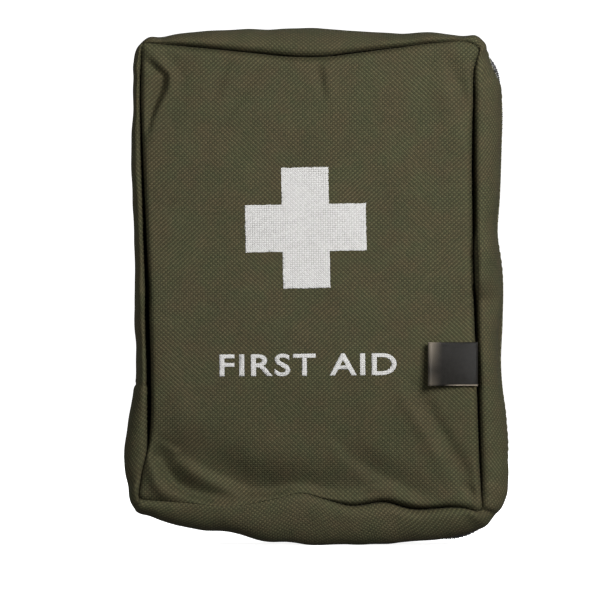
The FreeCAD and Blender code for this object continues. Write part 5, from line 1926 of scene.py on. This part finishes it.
def build_pocket():
    """A net of thin threads that meet their neighbours at every other bend, under a bound top edge."""
    low, high = node_box("mesh_pocket")
    binding_low = node_box("mesh_pocket_binding")[0][2]
    parts = []
    count = int((high[0] - low[0] - 1) / NET_PITCH)
    for index in range(count):
        bottom = max(low[2] + 0.4, float(cover_floor(low[0] + (index + 0.5) * NET_PITCH)) - 1.0)
        z = np.arange(bottom, binding_low + 1.5, NET_PITCH / 4)
        swing = (0.5 * NET_PITCH - NET_THREAD) * np.cos(2 * math.pi * z / (2 * NET_PITCH) + math.pi * index)
        x = low[0] + 0.8 + (index + 0.5) * NET_PITCH + swing
        y = pocket_depth(x, z, low, high)
        parts.append(tube_points(np.column_stack([x, y, z]), NET_THREAD, 5))
    net = many("mesh_pocket_net", parts, net_thread)
    place(net, "cover", "mesh", ["mesh_pocket"])
    xs = np.linspace(low[0] + 0.3, high[0] - 0.3, TAPE_POINTS)
    middle = np.full(TAPE_POINTS, (binding_low + high[2]) / 2)
    wide = high[2] - binding_low
    path = np.column_stack([xs, pocket_depth(xs, middle, low, high), middle])
    binding = ribbon("mesh_pocket_binding_tape", path, UP, wide, TOP_TAPE_THICK, binding_cloth, 0.15, 2.0)
    place(binding, "cover", "binding_tape", ["mesh_pocket_binding"])
    parts = stitch_walk(path + np.array([0, 0.8, 1.0 - wide / 2]), POCKET_STITCH_SPACING)
    z = np.linspace(low[2] + 0.6, high[2] - 0.6, SIDE_POINTS)
    half = SIDE_TAPE_WIDE / 2
    for side, x in (("left", low[0] + 0.9), ("right", high[0] - 0.9)):
        depths = [front_shape.surface(x + step, z) for step in (-half, 0.0, half)]
        path = np.column_stack([np.full(SIDE_POINTS, x), np.max(depths, axis=0) + 1.5, z])
        edge = ribbon("mesh_pocket_side_tape_" + side, path, ACROSS, SIDE_TAPE_WIDE, SIDE_TAPE_THICK,
                      binding_cloth)
        place(edge, "cover", "binding_tape")
        parts += stitch_walk(path + np.array([0, 0.45, 0]), POCKET_STITCH_SPACING)
    place(many("mesh_pocket_stitches", parts, olive_thread), "cover", "binding_tape")


build_pocket()

for node in ("scissors_half_fixed", "scissors_half_moving", "scissors_rivet", "tweezers_arm_fixed",
             "tweezers_arm_moving"):
    hard_piece(node, steel, "steel", 0.3, 3)
for node in ("scissors_keeper", "tweezers_keeper", "wipe_band"):
    hard_piece(node, elastic_tape, "elastic", 0.3)
    low, high = node_box(node)
    middle_z, half = (low[2] + high[2]) / 2, (high[2] - low[2]) / 2
    parts = []
    for x in (low[0] + 1.0, high[0] - 1.0):
        parts += bar_tack((x, high[1] + 0.05, middle_z), 0.5, half - 0.8, BACK)
    place(many(node + "_stitches", parts, olive_thread), "cover", "elastic")


# ------------------------------------------------------------------------------ stage, light and camera
VIEW_CENTRE = (-7.0, 90.0)
VIEW_DISTANCE = 2400.0
VIEW_WIDTH = 221.0
SENSOR_WIDTH = 36.0
PAPER_GLOW = 0.92
FLOOR_LEVEL = -1.0
FLOOR_REACH = 9000.0        # radius of the floor
BEND = 400.0                # radius of the curve between floor and wall
WALL_TOP = 9000.0
STAGE_SIDES = 48
ROOM_GLOW = 0.26
LIGHT_TARGET = (0.0, 0.0, 0.09)
# Place in metres, width in metres, and watts of each lamp.
LIGHTS = {
    "key": ((0.42, -0.72, 0.38), 0.3, 15.4),
    "fill": ((-0.8, -0.7, 0.35), 0.5, 3.2),
    "top": ((0.05, 0.15, 1.1), 0.9, 2.5),
    "back": ((0.25, 1.3, 0.5), 0.6, 9.0),
}


def build_stage():
    """A round bowl of white paper, so that it closes the view from every side."""
    g = Graph("white_paper")
    grain, _ = g.noise(g.position(), 300.0, 2.0)
    g.surface(g.ramp(grain, 0.3, 0.7, 0.9, 0.92), roughness=0.9, specular=0.1)
    g.shader.inputs["Emission Color"].default_value = (1.0, 1.0, 1.0, 1.0)
    g.shader.inputs["Emission Strength"].default_value = PAPER_GLOW
    bend = np.linspace(0, math.pi / 2, 8)
    profile = [(0.5, FLOOR_LEVEL), (FLOOR_REACH, FLOOR_LEVEL)]
    profile += [(FLOOR_REACH + BEND * math.sin(angle), FLOOR_LEVEL + BEND * (1 - math.cos(angle)))
                for angle in bend[1:]]
    profile.append((FLOOR_REACH + BEND, WALL_TOP))
    angles = np.linspace(0, 2 * math.pi, STAGE_SIDES + 1)
    rows = np.array([[(r * math.cos(a), r * math.sin(a), z) for a in angles] for r, z in profile])
    floor = grid_piece("studio_floor", rows, None, g.material)
    floor.visible_diffuse = False       # its glow keeps the paper white, and lights nothing else
    floor.visible_glossy = False


def build_light():
    world = bpy.data.worlds.new("studio")
    world.use_nodes = True
    world.node_tree.nodes["Background"].inputs["Color"].default_value = (1.0, 1.0, 1.0, 1.0)
    world.node_tree.nodes["Background"].inputs["Strength"].default_value = ROOM_GLOW
    bpy.context.scene.world = world
    for name, (place_at, size, energy) in LIGHTS.items():
        data = bpy.data.lights.new(name, "AREA")
        data.size = size
        data.energy = energy
        light = bpy.data.objects.new(name, data)
        light.location = Vector(place_at)
        light.rotation_euler = (Vector(LIGHT_TARGET) - Vector(place_at)).to_track_quat("-Z", "Y").to_euler()
        light.visible_glossy = name != "back"    # its glint would show along the cloth's edges
        bpy.context.scene.collection.objects.link(light)


def build_camera():
    """A far camera with a long lens, square to the printed front."""
    data = bpy.data.cameras.new("camera")
    data.sensor_width = SENSOR_WIDTH
    data.lens = SENSOR_WIDTH * VIEW_DISTANCE / VIEW_WIDTH
    camera = bpy.data.objects.new("camera", data)
    camera.location = (VIEW_CENTRE[0] * MM, (FULL_LOW[1] - VIEW_DISTANCE) * MM, VIEW_CENTRE[1] * MM)
    camera.rotation_euler = (math.pi / 2, 0, 0)
    bpy.context.scene.collection.objects.link(camera)
    bpy.context.scene.camera = camera


build_stage()
build_light()
build_camera()
bpy.context.scene.view_settings.view_transform = "Standard"
